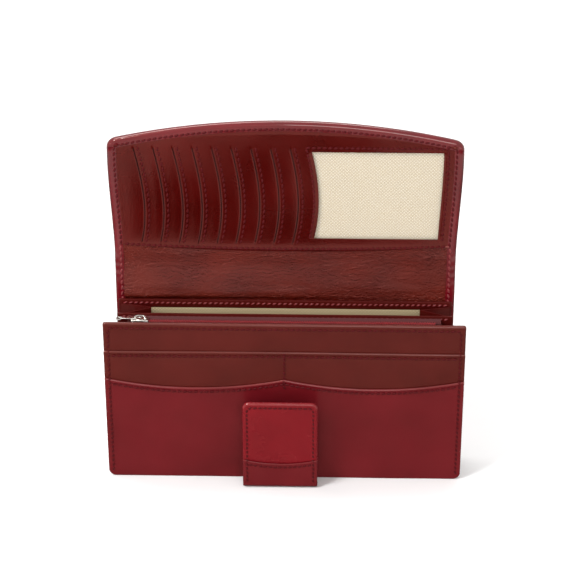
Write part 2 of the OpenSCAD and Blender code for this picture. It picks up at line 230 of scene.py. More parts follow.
# %% Cloth and small materials
def twill(name, tone_a, tone_b, rib_mm, slant=45.0, sheen=0.05):
    material, tree, shader = new_material(name)
    place = add(tree, "TexCoord").outputs["Object"]
    turn = add(tree, "Mapping", {"Vector": place}, Rotation=(0, math.radians(slant), 0))
    # ribs are drawn at about twice their real spacing, so that they show
    ribs = [add(tree, "TexWave", {"Vector": turn.outputs["Vector"]},
                Scale=0.314 / (rib_mm * MM), bands_direction=way).outputs["Fac"] for way in "XZ"]
    mixed = add(tree, "Math", {0: ribs[0], 1: ribs[1]}, operation="MULTIPLY")
    tone = ramp(tree, mixed.outputs["Value"], 0.0, 0.7, dye(tone_b), dye(tone_a))
    tree.links.new(tone.outputs["Color"], shader.inputs["Base Color"])
    bump = add(tree, "Bump", {"Height": mixed.outputs["Value"]}, Strength=0.15, Distance=0.1 * MM)
    tree.links.new(bump.outputs["Normal"], shader.inputs["Normal"])
    settle(shader, Roughness=0.75, Sheen_Weight=sheen)
    return material


def plain(name, code, rough, metal=0.0, shine=0.5):
    """Thread, nylon, metal or board: one colour, with fine specks in its gloss."""
    material, tree, shader = new_material(name)
    place = add(tree, "TexCoord").outputs["Object"]
    speck = add(tree, "TexNoise", {"Vector": place}, Scale=1 / (0.6 * MM), Detail=3.0)
    spread = add(tree, "MapRange", {"Value": speck.outputs["Fac"]}, To_Min=rough * 0.75,
                 To_Max=rough * 1.3)
    tree.links.new(spread.outputs["Result"], shader.inputs["Roughness"])
    settle(shader, Base_Color=dye(code), Metallic=metal, Specular_IOR_Level=shine)
    return material


cream_twill = twill("cream_cotton_twill", "#cdbf9e", "#a5926b", 1.25, sheen=0.15)
slot_cloth = twill("red_viscose_lining", "#5a1c18", "#2f0b0a", 0.8)
zip_tape_weave = twill("woven_polyester_tape", "#5e0c12", "#3a0508", 0.7)
thread = plain("waxed_polyester_thread", "#500e12", 0.6, shine=0.12)
# a lighter copy of the leaf's thread, for the walls and the spine's hems: the lighter colour is a
# painted highlight
highlit_thread = plain("thread_with_painted_highlight", "#7c2a2c", 0.4, shine=0.4)
# near-black bead under each stitch: painted shade for the needle hole and the stitch's groove
hole_painted_shade = plain("stitch_hole_painted_shade", "#140102", 0.8, shine=0.05)
tooth_nylon = plain("moulded_nylon_coil", "#8e2a2e", 0.35)
bright_nickel = plain("bright_nickel_plate", "#d9d6d0", 0.14, metal=1.0)
fibre_board = plain("pressed_fibre_board", "#9a8a6e", 0.8)

# %% Clear film
clear_film, film_tree, film_shader = new_material("clear_vinyl_film")
film_place = add(film_tree, "TexCoord").outputs["Object"]
film_wave = add(film_tree, "TexNoise", {"Vector": film_place}, Scale=1 / (22 * MM), Detail=2.0)
film_bump = add(film_tree, "Bump", {"Height": film_wave.outputs["Fac"]}, Strength=0.3,
                Distance=0.8 * MM)
film_tree.links.new(film_bump.outputs["Normal"], film_shader.inputs["Normal"])
settle(film_shader, Base_Color=dye("#fbf8f0"), Roughness=0.12, Alpha=0.16, IOR=1.5)
print("materials:", len(bpy.data.materials))


# %% [markdown]
# ## How a flat cut becomes a bent panel
# Leather starts flat and is bent round its boards. Here too: a grid primitive is added, and
# each of its points is sent through a function from the flat cut to its place. The edges are
# then turned in, ring by ring, as a hem is, and Solidify gives the hide its thickness. Cloth
# simulation is the other way, and it suits loose cloth better than stretched, glued leather.


# %% Flat grids and their outlines
def deselect():
    if bpy.context.object and bpy.context.object.mode != "OBJECT":
        bpy.ops.object.mode_set(mode="OBJECT")
    bpy.ops.object.select_all(action="DESELECT")


def use(piece):
    deselect()
    bpy.context.view_layer.objects.active = piece
    piece.select_set(True)


def flat_grid(name, columns, rows):
    deselect()
    bpy.ops.mesh.primitive_grid_add(x_subdivisions=columns - 1, y_subdivisions=rows - 1, size=1)
    piece = bpy.context.object
    piece.name = name
    piece.data.name = name
    assert len(piece.data.vertices) == columns * rows, len(piece.data.vertices)
    return piece


def put(piece, points):
    """Send the piece's points to their places, given in millimetres."""
    piece.data.vertices.foreach_set("co", (points * MM).ravel())


def bent_grid(name, across, along, bend):
    """A grid whose points (u, v) go where bend(u, v) says, in millimetres."""
    piece = flat_grid(name, len(across), len(along))
    put(piece, bend(*(g.ravel() for g in np.meshgrid(across, along))))
    return piece


# %% Outlines of a flat cut
def corner(depth, radius):
    """How far a rounded corner pulls the side in, at a depth below the edge."""
    short = np.clip(radius - depth, 0, radius)
    return radius - np.sqrt(np.clip(radius * radius - short * short, 0, None))


def levels(length, step, low_radius=0.0, high_radius=0.0):
    """Row heights, closer together where a corner turns."""
    turn = np.array([0, 0.04, 0.13, 0.3, 0.55, 0.8])
    low = turn * low_radius if low_radius else np.array([0.0])
    high = length - (turn * high_radius)[::-1] if high_radius else np.array([length])
    count = max(2, int((length - low_radius - high_radius) / step))
    middle = np.linspace(low_radius, length - high_radius, count)
    middle = middle[(middle > low[-1] + 1e-6) & (middle < high[0] - 1e-6)]
    return np.concatenate([low, middle, high])


def cut(width, rows, columns, top, low_radius=0.0, high_radius=0.0):
    """Points of a flat cut: rows of (x, height), with rounded corners and a shaped top."""
    height = rows[-1]
    u = np.linspace(-1, 1, columns)
    inset = corner(rows, low_radius) + corner(height - rows, high_radius)
    x = u[None, :] * (width / 2 - inset[:, None])
    z = rows[:, None] / height * top(x)
    return np.stack([x, z], -1)


def level(height):
    return lambda x: np.full_like(x, height)


# %% Turning the edges in
def rim_of(points, sides):
    """The grid's border as one path: indices and outward directions in the flat cut."""
    rows, columns = points.shape[:2]
    left = [(r, 0) for r in range(rows)]
    top = [(rows - 1, c) for c in range(columns)]
    right = [(r, columns - 1) for r in range(rows - 1, -1, -1)]
    base = [(0, c) for c in range(columns - 1, -1, -1)]
    path = {"LTR": left + top[1:] + right[1:], "L": left, "R": right,
            "LTRB": left + top[1:] + right[1:] + base[1:-1]}[sides]
    place = np.array([points[i] for i in path])
    if sides == "LTRB":
        along = np.roll(place, -1, 0) - np.roll(place, 1, 0)
    else:
        along = np.gradient(place, axis=0)
    along /= np.linalg.norm(along, axis=1)[:, None] + 1e-9
    return path, place, np.stack([-along[:, 1], along[:, 0]], -1)


def at_depth(bend, place, depth):
    return bend(place[:, 0], place[:, 1], np.full(len(place), float(depth))) * MM


def opened(name, points, bend):
    """The grid bent at its face, and its mesh opened so that rings can be added."""
    piece = flat_grid(name, points.shape[1], points.shape[0])
    piece.data.vertices.foreach_set("co", at_depth(bend, points.reshape(-1, 2), 0).ravel())
    mesh = bmesh.new()
    mesh.from_mesh(piece.data)
    mesh.verts.ensure_lookup_table()
    return piece, mesh


def hemmed(name, points, bend, sides, ring, thick):
    """A grid bent by bend(x, s, depth), its sides turned in along ring [(out, depth share)]."""
    piece, mesh = opened(name, points, bend)
    for side in sides:
        path, start, outward = rim_of(points, side)
        mesh.verts.ensure_lookup_table()
        last = [mesh.verts[r * points.shape[1] + c] for r, c in path]
        for out, depth in ring:
            new = [mesh.verts.new(p) for p in at_depth(bend, start + outward * out, depth)]
            for i in range(len(new) - 1):
                mesh.faces.new((last[i], last[i + 1], new[i + 1], new[i]))
            last = new
    bmesh.ops.reverse_faces(mesh, faces=mesh.faces)
    mesh.to_mesh(piece.data)
    mesh.free()
    return thicken(piece, thick)


# %% Thickness and finish
def edit_all(piece, action):
    """Do one edit-mode action on the whole piece."""
    use(piece)
    bpy.ops.object.mode_set(mode="EDIT")
    bpy.ops.mesh.select_all(action="SELECT")
    action()
    bpy.ops.object.mode_set(mode="OBJECT")


def soften(piece, width, segments, limit=30):
    """Bevel the edges that turn by more than limit degrees."""
    bevel = piece.modifiers.new("edge", "BEVEL")
    bevel.width = width * MM
    bevel.segments = segments
    bevel.limit_method = "ANGLE"
    bevel.angle_limit = math.radians(limit)
    bpy.ops.object.modifier_apply(modifier="edge")
    return piece


def thicken(piece, thick, edge=0.0):
    """Solidify inwards, then round the cut edges a little."""
    edit_all(piece, lambda: bpy.ops.mesh.remove_doubles(threshold=0.02 * MM))
    solid = piece.modifiers.new("hide", "SOLIDIFY")
    solid.thickness = thick * MM
    solid.offset = -1
    solid.use_even_offset = False
    bpy.ops.object.modifier_apply(modifier="hide")
    if edge:
        soften(piece, edge, 2, 50)
    bpy.ops.object.shade_smooth_by_angle(angle=math.radians(40))
    return piece


def face_out(piece):
    edit_all(piece, lambda: bpy.ops.mesh.normals_make_consistent(inside=False))
    return piece


def face_front(piece):
    face_out(piece)
    bpy.ops.object.shade_smooth_by_angle(angle=math.radians(40))
    return piece


def finish_piece(piece, material, body, slot, *nodes):
    piece.data.materials.clear()
    piece.data.materials.append(material)
    if body:
        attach(piece, body)
    if nodes:
        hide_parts(*nodes)
    return piece


def ripple(x, z, size, seed):
    """Slow hills, from -1 to 1, the same at every run."""
    return np.array([noise.noise(Vector((a / size, b / size, seed))) for a, b in zip(x, z)])


# %% [markdown]
# ## The line that the cover follows
# The cover runs under the foot, up the back, over the spine and along the flap as one hide.
# Its lean changes at the two folds, over a few millimetres, so the line is summed in short
# steps and every cover or lining point is looked up on it.

# %% Path of the lining plane
STEP = 0.25
FOLD_SPREAD = 9.0


def ease(t):
    t = np.clip(t, 0, 1)
    return t * t * (3 - 2 * t)


path_s = np.arange(-FOLD_Z - 2, SPINE_L + FLAP_H + 10, STEP)
path_lean = SPINE_LEAN * ease((path_s + FOLD_SPREAD / 2) / FOLD_SPREAD)
path_lean = path_lean + (FLAP_LEAN - SPINE_LEAN) * ease((path_s - SPINE_L) / FOLD_SPREAD + 0.5)
path_y = np.cumsum(np.sin(path_lean)) * STEP
path_z = np.cumsum(np.cos(path_lean)) * STEP
path_y += FOLD_Y - np.interp(0, path_s, path_y)
path_z += FOLD_Z - np.interp(0, path_s, path_z)
print("steps along the cover's line:", len(path_s))
WAIST = 0.027


def on_path(x, s, y):
    """A point y behind the lining plane, s up from the fold; the cover narrows to its spine."""
    x = x * (1 - WAIST * (1 - ease((s - SPINE_L + 6) / 60)))
    lean = np.interp(s, path_s, path_lean)
    out_y = np.interp(s, path_s, path_y) + y * np.cos(lean)
    out_z = np.interp(s, path_s, path_z) - y * np.sin(lean)
    return np.stack([x, out_y, out_z], -1)


def thickness_at(s):
    return SPINE_T + (FLAP_T - SPINE_T) * ease((s - SPINE_L + 3.2) / 3.4)


# %% [markdown]
# ## Outer cover, upper half
# The hide wraps the flap's board: it rolls over the rim and comes back as a narrow hem on
# the inside. The rim is half a circle, drawn as a ring of short steps. A bevelled block has
# a rim too, but no hem, and the hem with its stitches is what the eye looks for.

# %% Cover over the flap and the upper spine
RIM_STEPS = 9
HIDE_T = 0.45
SEAM_S = SPINE_L / 2
FLAP_ARCH = 11.0
FLAP_CORNER = 5.0
PLEATS = 11
arch_half = COVER_W / 2
arch_r = (arch_half ** 2 + FLAP_ARCH ** 2) / (2 * FLAP_ARCH)


def arch(x):
    """Height of the flap's arched edge above its fold."""
    return FLAP_H - arch_r + np.sqrt(arch_r ** 2 - x ** 2)


def closing_ring(half_t):
    turn = np.linspace(0, math.pi, RIM_STEPS + 1)[1:]
    return [(half_t * math.sin(a), (1 - math.cos(a)) / 2) for a in turn]


def rim_ring(half_t, hem):
    inner = hem - half_t
    return closing_ring(half_t) + [(-inner * 0.5, 1.0), (-inner * 0.96, 1.0), (-inner, 0.93)]


def crimp(s, depth):
    """The hem's creases where the spine bends."""
    bent = np.exp(-((s - SPINE_L * 0.62) / 9) ** 2)
    return 0.3 * bent * np.cos(s * 2 * math.pi / 4.4) * (depth > 0.55) * (depth < 0.99)


def bend_flap(x, s, depth):
    thick = thickness_at(s)
    crown = 0.25 * ripple(x, s, 38, 3.0) * (depth < 0.02) * ease((s - SEAM_S) / 10)
    # the hide is gathered in small pleats where it turns round each corner
    to_side = np.abs(x) - (COVER_W / 2 - 7)
    to_top = s - SPINE_L - (arch(np.minimum(np.abs(x), arch_half)) - 7)
    near = np.clip(1.6 - np.hypot(to_side - 3, to_top - 3) / 5, 0, 1) * (depth > 0.55)
    pleat = near * 0.45 * np.cos(np.arctan2(to_top, to_side + 1e-6) * PLEATS)
    return on_path(x, s, thick * (1 - depth) + crown - pleat * (depth < 0.99) - crimp(s, depth))


inset = FLAP_T / 2
rows = levels(SPINE_L + FLAP_H - inset - SEAM_S, 2.0, 0, FLAP_CORNER - inset)
flap_top = cut(COVER_W - 2 * inset, rows, 90, level(rows[-1]), 0, FLAP_CORNER - inset)
height = (SPINE_L + arch(flap_top[..., 0]) - inset - SEAM_S) / rows[-1]
flap_top[..., 1] = SEAM_S + flap_top[..., 1] * height
cover_upper = hemmed("cover_upper", flap_top, bend_flap, ["LTR"], rim_ring(inset, HEM_W), HIDE_T)
finish_piece(cover_upper, glazed_cover, None, "patent_cover", "cover_flap")
print("upper cover faces:", len(cover_upper.data.polygons))


# %% [markdown]
# ## Outer cover, lower half
# The same hide goes down the back and turns forward under the foot. It meets the upper half
# at mid spine. One piece for the whole cover would have to cross two folds, and a blend can turn
# over only one.

# %% Cover over the back, the foot and the lower spine
FOOT_R = 2.4
FOOT_T = 1.4
base_low, base_high = box_mm("cover_base")
outer_y = FOLD_Y + SPINE_T
foot_run = outer_y - FOOT_R - base_low[1]
foot_arc = FOOT_R * math.pi / 2
foot_s = -(FOLD_Z - FOOT_R)


def bend_back(x, s, depth):
    up = on_path(x, np.maximum(s, foot_s), SPINE_T * (1 - depth) - crimp(s, depth))
    swell = 0.2 * ripple(x, s, 45, 7.0) * (depth < 0.02) * ease((SEAM_S - s) / 10)
    up[:, 1] += swell * ease((s - foot_s) / 10)
    turn = np.clip((foot_s - s) / FOOT_R, 0, math.pi / 2)
    run = np.clip(foot_s - foot_arc - s, 0, None)
    thick = SPINE_T + (FOOT_T - SPINE_T) * turn / (math.pi / 2)
    r = FOOT_R - depth * thick
    low = up.copy()
    low[:, 1] = outer_y - FOOT_R + r * np.cos(turn) - run
    low[:, 2] = FOOT_R - r * np.sin(turn)
    return np.where((s < foot_s)[:, None], low, up)


back_inset = SPINE_T / 2
rows = np.concatenate([
    np.linspace(foot_s - foot_arc - foot_run, foot_s - foot_arc, 9),
    np.linspace(foot_s - foot_arc, foot_s, 8)[1:],
    np.linspace(foot_s, SEAM_S, 70)[1:]])
u = np.linspace(-1, 1, 90)
back_cut = np.stack(np.meshgrid(u * (COVER_W / 2 - back_inset), rows), -1)
cover_lower = hemmed("cover_lower", back_cut, bend_back, ["L", "R"],
                     rim_ring(back_inset, HEM_W), HIDE_T)
finish_piece(cover_lower, glazed_cover, None, "patent_cover", "cover_spine", "cover_back",
             "cover_base")
print("lower cover faces:", len(cover_lower.data.polygons))


# %% [markdown]
# ## Spine lining
# A thin, soft skin lines the fold. It is glued only at its edges, so it creases across when
# the wallet opens. The creases are low ridges in the sheet itself, because a bump in the
# finish alone wouldn't change the outline of the fold.

# %% Lining sheets across both folds
LINING_W = COVER_W - 2 * HEM_W + 0.8


def lining_relief(x, s):
    fold = np.exp(-((s - 1.5) / 6.0) ** 2) + 0.5 * np.exp(-((s - SPINE_L + 2) / 5.0) ** 2)
    cross = np.array([noise.noise(Vector((a / 34, b / 5.0, 1.7))) for a, b in zip(x, s)])
    slow = ripple(x, s, 22, 5.0)
    # the padding under the skin stands fullest just above the lower fold
    pad = ease((s + 1.2) / 2.2) * (1 - ease((s - 1) / 20)) * (0.9 - 1.8 * x / LINING_W)
    return 0.24 * cross * (0.3 + fold) + 0.4 * slow - 1.2 * pad


def bend_lining(x, s):
    return on_path(x, s, 0.35 + lining_relief(x, s) * 0.8)


def lining_piece(name, low, high, node):
    rows = np.linspace(low, high, int((high - low) / 0.7))
    u = np.linspace(-1, 1, 150) * LINING_W / 2
    piece = bent_grid(name, u, rows, bend_lining)
    thicken(piece, 0.35)
    return finish_piece(piece, soft_spine, None, "spine_leather", node)


lining_lower = lining_piece("lining_lower", -18, SEAM_S, "spine_lining")
lining_upper = lining_piece("lining_upper", SEAM_S, SPINE_L + 6, "spine_padding")
print("lining width:", round(LINING_W, 1))


# %% [markdown]
# ## Leather that crosses a fold
# Real leather bends over a few millimetres. Here each piece that crosses a fold only has its
# place baked into its points; the points a few millimetres either side of the fold are worked
# out and not used. Splitting the skin at the fold would show as a gap when the wallet closes.

# %% Pieces over the two folds, baked in place
BLEND_REACH = 6.0


def path_point(s):
    x, y, z = on_path(np.array([0.0]), np.array([float(s)]), np.array([1.0]))[0]
    return (0, y * MM, z * MM)


def over_fold(piece, s):
    path_point(s - BLEND_REACH)
    path_point(s + BLEND_REACH)
    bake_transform(piece)


for piece in (cover_lower, lining_lower):
    over_fold(piece, 0)
for piece in (cover_upper, lining_upper):
    over_fold(piece, SPINE_L)
print("fold points:", path_point(0), path_point(SPINE_L))


# %% [markdown]
# ## Card panel
# One sheet holds nine curved slits and the window. The grid's columns are bowed like the
# slits, so each slit is a column gap: its left lip lies low and its right lip stands a little
# proud, as leather does where cards have slid in. Cutting the slits with a solid would leave
# long thin faces, and those shade badly on a glossy sheet.

# %% Panel with slits and window
SLOTS = 9
liner_x = [box_mm(f"slot_liner_{i}")[0][0] for i in (1, 2)]
PITCH = liner_x[1] - liner_x[0]
FIRST = liner_x[0] + PITCH / 2
SLIT_LOW, SLIT_HIGH = 5.0, 59.0
SLIT_BOW = 3.6
SLIT_LEAN = 1.2
WINDOW_X0 = box_mm("window_film")[0][0] + 2
WINDOW_X1 = box_mm("window_film")[1][0] - 2
WINDOW_Z0 = 8.5
WINDOW_Z1 = WINDOW_Z0 + 49
PANEL_HALF = COVER_W / 2 - HEM_W + 1.2
PANEL_DROP = 3.5


def bow(z):
    """How far the slits stand to the right of a straight line, at height z."""
    t = np.clip((z - SLIT_LOW) / (SLIT_HIGH - SLIT_LOW), -0.1, 1.1)
    return SLIT_BOW * 4 * t * (1 - t) * (1.15 - 0.3 * t) - SLIT_LEAN * t


def bow_share(s):
    """Full over the slits and the window's left side, and none at the panel's ends."""
    left = ease((s + PANEL_HALF) / (FIRST + PANEL_HALF - 2))
    right = 1 - ease((s - WINDOW_X0 - 3) / 30)
    return left * right


slit_x = [FIRST + PITCH * i for i in range(SLOTS)]
columns = [-PANEL_HALF, -PANEL_HALF + 1.5, -PANEL_HALF + 4]
for x in slit_x:
    columns += [x - 2.2, x - 0.9, x - 0.32, x + 0.32, x + 0.95, x + 1.9, x + 3.4, x + 5.4]
columns += [slit_x[-1] + 7.5]
columns += list(np.linspace(WINDOW_X0, WINDOW_X1, 40))
columns += list(np.linspace(WINDOW_X1, PANEL_HALF, 5)[1:])
columns = np.array(sorted(columns))
rows = np.array(sorted(set(
    [0, 1.5, 3.2, SLIT_LOW, SLIT_LOW + 1, SLIT_HIGH - 1, SLIT_HIGH, WINDOW_Z0, WINDOW_Z1]
    + list(np.linspace(SLIT_LOW + 2.2, WINDOW_Z1 - 1.6, 44)) + [61, 63, 65, 67, 70])))
TOP_ROW = rows[-1]


# %% Places and relief of the panel
def panel_place(x, z):
    """From the flat cut to the bowed one: x and the height above the flap's fold."""
    out_x = x + bow(z) * bow_share(x)
    drop = PANEL_DROP * (1 - (x / PANEL_HALF) ** 2)
    base = 4.6 - drop
    rise = np.clip((z - 61) / (TOP_ROW - 61), 0, 1)
    fall = np.clip((5 - z) / 5, 0, 1)
    top = arch(out_x) - HEM_W + 1.0
    height = np.where(z > 61, 61 + rise * (top - 61), z)
    height = np.where(z < 5, 5 * (1 - fall) + base * fall, height)
    return out_x, height


def panel_relief(x, z):
    """Height of the panel's face towards the viewer."""
    lift = 0.12 * ripple(x, z, 30, 11.0)
    inside = (z > SLIT_LOW - 0.5) & (z < SLIT_HIGH + 0.5)
    t = np.clip((z - SLIT_LOW) / (SLIT_HIGH - SLIT_LOW), 0, 1)
    belly = np.sin(t * math.pi) ** 0.6
    lift = lift + 0.4 * np.exp(-z / 6)
    for s in slit_x:
        near = x - s
        low = np.exp(-((near + 0.6) / 0.8) ** 2) * (near < 0.1)
        high = np.exp(-((near - 0.9) / 1.1) ** 2) * (near > 0.1)
        lift = lift + np.where(inside, belly * (0.04 * high - 0.06 * low), 0)
    return lift


def bend_panel(x, z):
    place_x, place_z = panel_place(x, z)
    return on_path(place_x, place_z + SPINE_L, 0.25 - panel_relief(x, z))


print("slits", round(PITCH, 2), "mm apart; window", WINDOW_X1 - WINDOW_X0, "mm wide")


# %% The panel's sheet, with its slits and window cut out
piece = bent_grid("card_panel_leather", columns, rows, bend_panel)
grid_x, grid_z = (g.ravel() for g in np.meshgrid(columns, rows))
use(piece)
bpy.ops.object.mode_set(mode="EDIT")
bpy.ops.mesh.select_mode(type="FACE")
bpy.ops.mesh.select_all(action="DESELECT")
bpy.ops.object.mode_set(mode="OBJECT")


def in_hole(x, z):
    slit = any(abs(x - s) < 0.3 for s in slit_x) and SLIT_LOW < z < SLIT_HIGH
    return slit or (WINDOW_X0 < x < WINDOW_X1 and WINDOW_Z0 < z < WINDOW_Z1)


for face in piece.data.polygons:
    x = grid_x[list(face.vertices)].mean()
    z = grid_z[list(face.vertices)].mean()
    face.select = in_hole(x, z)
bpy.ops.object.mode_set(mode="EDIT")
bpy.ops.mesh.delete(type="FACE")
bpy.ops.object.mode_set(mode="OBJECT")
card_panel = thicken(piece, 0.7, 0.12)
finish_piece(card_panel, glazed_panel, "flap", "panel_leather", "card_panel")
print("card panel faces:", len(card_panel.data.polygons))


# %% [markdown]
# ## Behind the panel
# Each slit has its own strip of dark lining. The window has a clear film over cream twill,
# which is stretched flat and glued at its edges. A cloth that is held all round barely sags,
# so a few tenths of a millimetre of ripple say more than a simulated drape.

# %% Window cloth and film
def flap_sheet(name, x0, x1, z0, z1, y, wave, thick, seed, follow=0.6, counts=(60, 44)):
    """A cloth behind the panel, bowed by the follow share of the slits' bow."""
    def bend(x, z):
        out_x = x + bow(z) * bow_share(x) * follow
        return on_path(out_x, z + SPINE_L, y + wave * ripple(x, z, 20, seed))

    across = np.linspace(x0, x1, counts[0])
    return thicken(bent_grid(name, across, np.linspace(z0, z1, counts[1]), bend), thick)


window_cloth = flap_sheet("window_twill", WINDOW_X0 - 3, WINDOW_X1 + 2, WINDOW_Z0 - 2,
                          WINDOW_Z1 + 2, 1.75, 0.12, 0.25, 21.0)
finish_piece(window_cloth, cream_twill, "flap", "cream_cloth", "window_lining")
window_vinyl = flap_sheet("window_vinyl", WINDOW_X0 - 2.5, WINDOW_X1 + 1.5, WINDOW_Z0 - 1.5,
                          WINDOW_Z1 + 1.5, 1.15, 0.16, 0.1, 33.0)
finish_piece(window_vinyl, clear_film, "flap", "clear_film", "window_film")
print("window cloth and film:", window_cloth.name, window_vinyl.name)

# %% Slot linings
STRIP_W = PITCH - 0.05
STRIP_OVER = 1.5
for i, x in enumerate(slit_x):
    strip = flap_sheet(f"slot_lining_{i + 1}", x - STRIP_W / 2, x + STRIP_W / 2,
                       SLIT_LOW - STRIP_OVER, SLIT_HIGH + STRIP_OVER, 1.35, 0.08, 0.2, 90.0 + i,
                       1.0, (10, 26))
    finish_piece(strip, slot_cloth, "flap", "slot_cloth", f"slot_liner_{i + 1}")
print("slot linings:", len(slit_x), "of", round(STRIP_W, 2), "mm")


# %% [markdown]
# ## Front leaf
# The leaf is a board wrapped in leather, with two pocket sheets on its face. The wrap is a
# closed sheet with a small round rim; the pockets are flat cuts with shaped mouths and a
# turned, slightly thicker lip. They stay separate sheets, one over the other, because the
# step from one mouth to the next is what makes a pocket read as a pocket.

# %% Places on the leaf
LEAF_R = 4.0


def on_leaf(x, z, y):
    """z up the leaf's slope and y behind its front face."""
    out_y = LEAF_FOOT_Y + y * math.cos(LEAF_LEAN) - z * math.sin(LEAF_LEAN)
    out_z = z * math.cos(LEAF_LEAN) + y * math.sin(LEAF_LEAN)
    return np.stack([x, out_y, out_z], -1)


WRAP_T = LEAF_T - 1.6
wrap_inset = WRAP_T / 2


def bend_wrap(x, z, depth):
    swell = 0.18 * ripple(x, z, 40, 13.0) * (depth < 0.02)
    return on_leaf(x, np.maximum(z + wrap_inset, 0.02), 1.6 + WRAP_T * depth - swell)


rows = levels(LEAF_H - 2 * wrap_inset, 2.4, LEAF_R - wrap_inset, 0.3)
wrap_cut = cut(LEAF_W - 2 * wrap_inset, rows, 96, level(rows[-1]), LEAF_R - wrap_inset, 0.3)


def closed_shell(name, points, bend, half_t):
    """A wrapped board: both faces and a round rim all the way round."""
    rows, columns = points.shape[:2]
    piece, mesh = opened(name, points, bend)
    path, start, outward = rim_of(points, "LTRB")
    last = [mesh.verts[r * columns + c] for r, c in path]
    back = [mesh.verts.new(p) for p in at_depth(bend, points.reshape(-1, 2), 1)]
    for r in range(rows - 1):
        for c in range(columns - 1):
            a = r * columns + c
            mesh.faces.new((back[a], back[a + columns], back[a + columns + 1], back[a + 1]))
    rings = [[mesh.verts.new(p) for p in at_depth(bend, start + outward * out, depth)]
             for out, depth in closing_ring(half_t)[:-1]]
    for new in rings + [[back[r * columns + c] for r, c in path]]:
        for i in range(-1, len(new) - 1):
            mesh.faces.new((last[i], last[i + 1], new[i + 1], new[i]))
        last = new
    mesh.to_mesh(piece.data)
    mesh.free()
    return face_front(piece)


leaf_wrap = closed_shell("leaf_wrap", wrap_cut, bend_wrap, wrap_inset)
finish_piece(leaf_wrap, glazed_band, "front", "panel_leather", "leaf_top_band", "leaf_board",
             "leaf_lining")
print("leaf wrap faces:", len(leaf_wrap.data.polygons))

# %% Pocket sheets
MIDDLE_H = box_mm("pocket_middle")[1][2] / math.cos(LEAF_LEAN)
SCALLOP_H = box_mm("pocket_scalloped")[1][2] / math.cos(LEAF_LEAN)
SCALLOP_DIP = 5.5


def scallop(x):
    half = LEAF_W / 4
    r = (half ** 2 + SCALLOP_DIP ** 2) / (2 * SCALLOP_DIP)
    near = np.abs(np.abs(x) - half)
    return SCALLOP_H - SCALLOP_DIP + r - np.sqrt(r * r - near * near)


def middle_mouth(x):
    return MIDDLE_H - 0.9 + 0.9 * np.cos(np.pi * x / LEAF_W) ** 2 * 0.4


def pocket(name, front, top, columns, seed, material, slot, node):
    """A pocket sheet whose mouth is turned in: the lip is thicker and stands proud."""
    rows = levels(1.0, 0.03, LEAF_R / 60, 0)
    rows = np.concatenate([rows[rows < 0.93], [0.945, 0.965, 0.978, 0.986, 0.991, 0.9955, 1.0]])
    height = top(np.array([0.0]))[0]
    points = cut(LEAF_W, rows * height, columns, top, LEAF_R, 0)
    flat = points.reshape(-1, 2)
    x, z = flat[:, 0], flat[:, 1]
    edge = top(x) - z
    lip = 0.3 * np.exp(-((edge - 0.7) / 0.8) ** 2) - 0.14 * np.exp(-((edge - 2.6) / 0.7) ** 2)
    belly = 0.2 * ripple(x, z, 36, seed)
    sag = np.clip(edge / 8, 0, 1)
    # the turned edge rolls back, so its round top catches the light
    roll = 0.5 * np.clip(1 - edge / 0.9, 0, 1) ** 2
    piece = flat_grid(name, columns, len(rows))
    put(piece, on_leaf(x, z, front - lip - belly * sag + roll))
    thicken(piece, 0.75, 0.3)
    return finish_piece(piece, material, "front", slot, node)


pocket("pocket_middle_sheet", 0.85, middle_mouth, 96, 41.0, glazed_band, "panel_leather",
       "pocket_middle")
pocket("pocket_scalloped_sheet", 0.05, scallop, 191, 43.0, glazed_pocket, "pocket_leather",
       "pocket_scalloped")
print("pocket mouths at", round(MIDDLE_H, 1), "and", round(SCALLOP_H, 1), "mm")


# %% [markdown]
# ## Snap tab
# The tab is a small tray: a stiff tongue whose glazed edge is rolled all round. A second
# piece of leather covers its lower third and ends in a dipped lip. The tray is a closed
# shell like the leaf's wrap, with its face sunk a little, so that the rolled edge stands up.

# %% Tab and its overlay
tab_low, tab_high = box_mm("tab_head")
TAB_X = (tab_low[0] + tab_high[0]) / 2
TAB_W = tab_high[0] - tab_low[0]
TAB_H = 55.0
TAB_FRONT = -10.0
TAB_T = 2.6
ROLL_R = 2.3
ROLL_Z = 2.9
TAB_LIP = 19.0
TAB_DIP = 2.6


def bend_tab(x, z, depth):
    edge = np.minimum.reduce([x - TAB_X + TAB_W / 2, TAB_X + TAB_W / 2 - x, TAB_H - z])
    dish = 0.3 * ease((edge - 1.2) / 2.0) * (depth < 0.02)
    return on_leaf(x, z, TAB_FRONT + TAB_T * depth + dish)


tab_inset = TAB_T / 2
rows = levels(TAB_H - tab_inset - ROLL_Z, 1.2, 0.6, 2.4)
tab_cut = cut(TAB_W - 2 * tab_inset, rows, 48, level(rows[-1]), 0.6, 2.4)
tab_cut[..., 0] += TAB_X
tab_cut[..., 1] += ROLL_Z
tab_shell = closed_shell("tab_shell", tab_cut, bend_tab, tab_inset)
finish_piece(tab_shell, glazed_tab, "tab", "tab_leather", "tab_head", "tab_lining", "tab_board")


def tab_lip(x):
    half = TAB_W / 2
    r = (half ** 2 + TAB_DIP ** 2) / (2 * TAB_DIP)
    return TAB_LIP - TAB_DIP + r - np.sqrt(r * r - np.clip(x - TAB_X, -half, half) ** 2)


TURN_END = 0.22


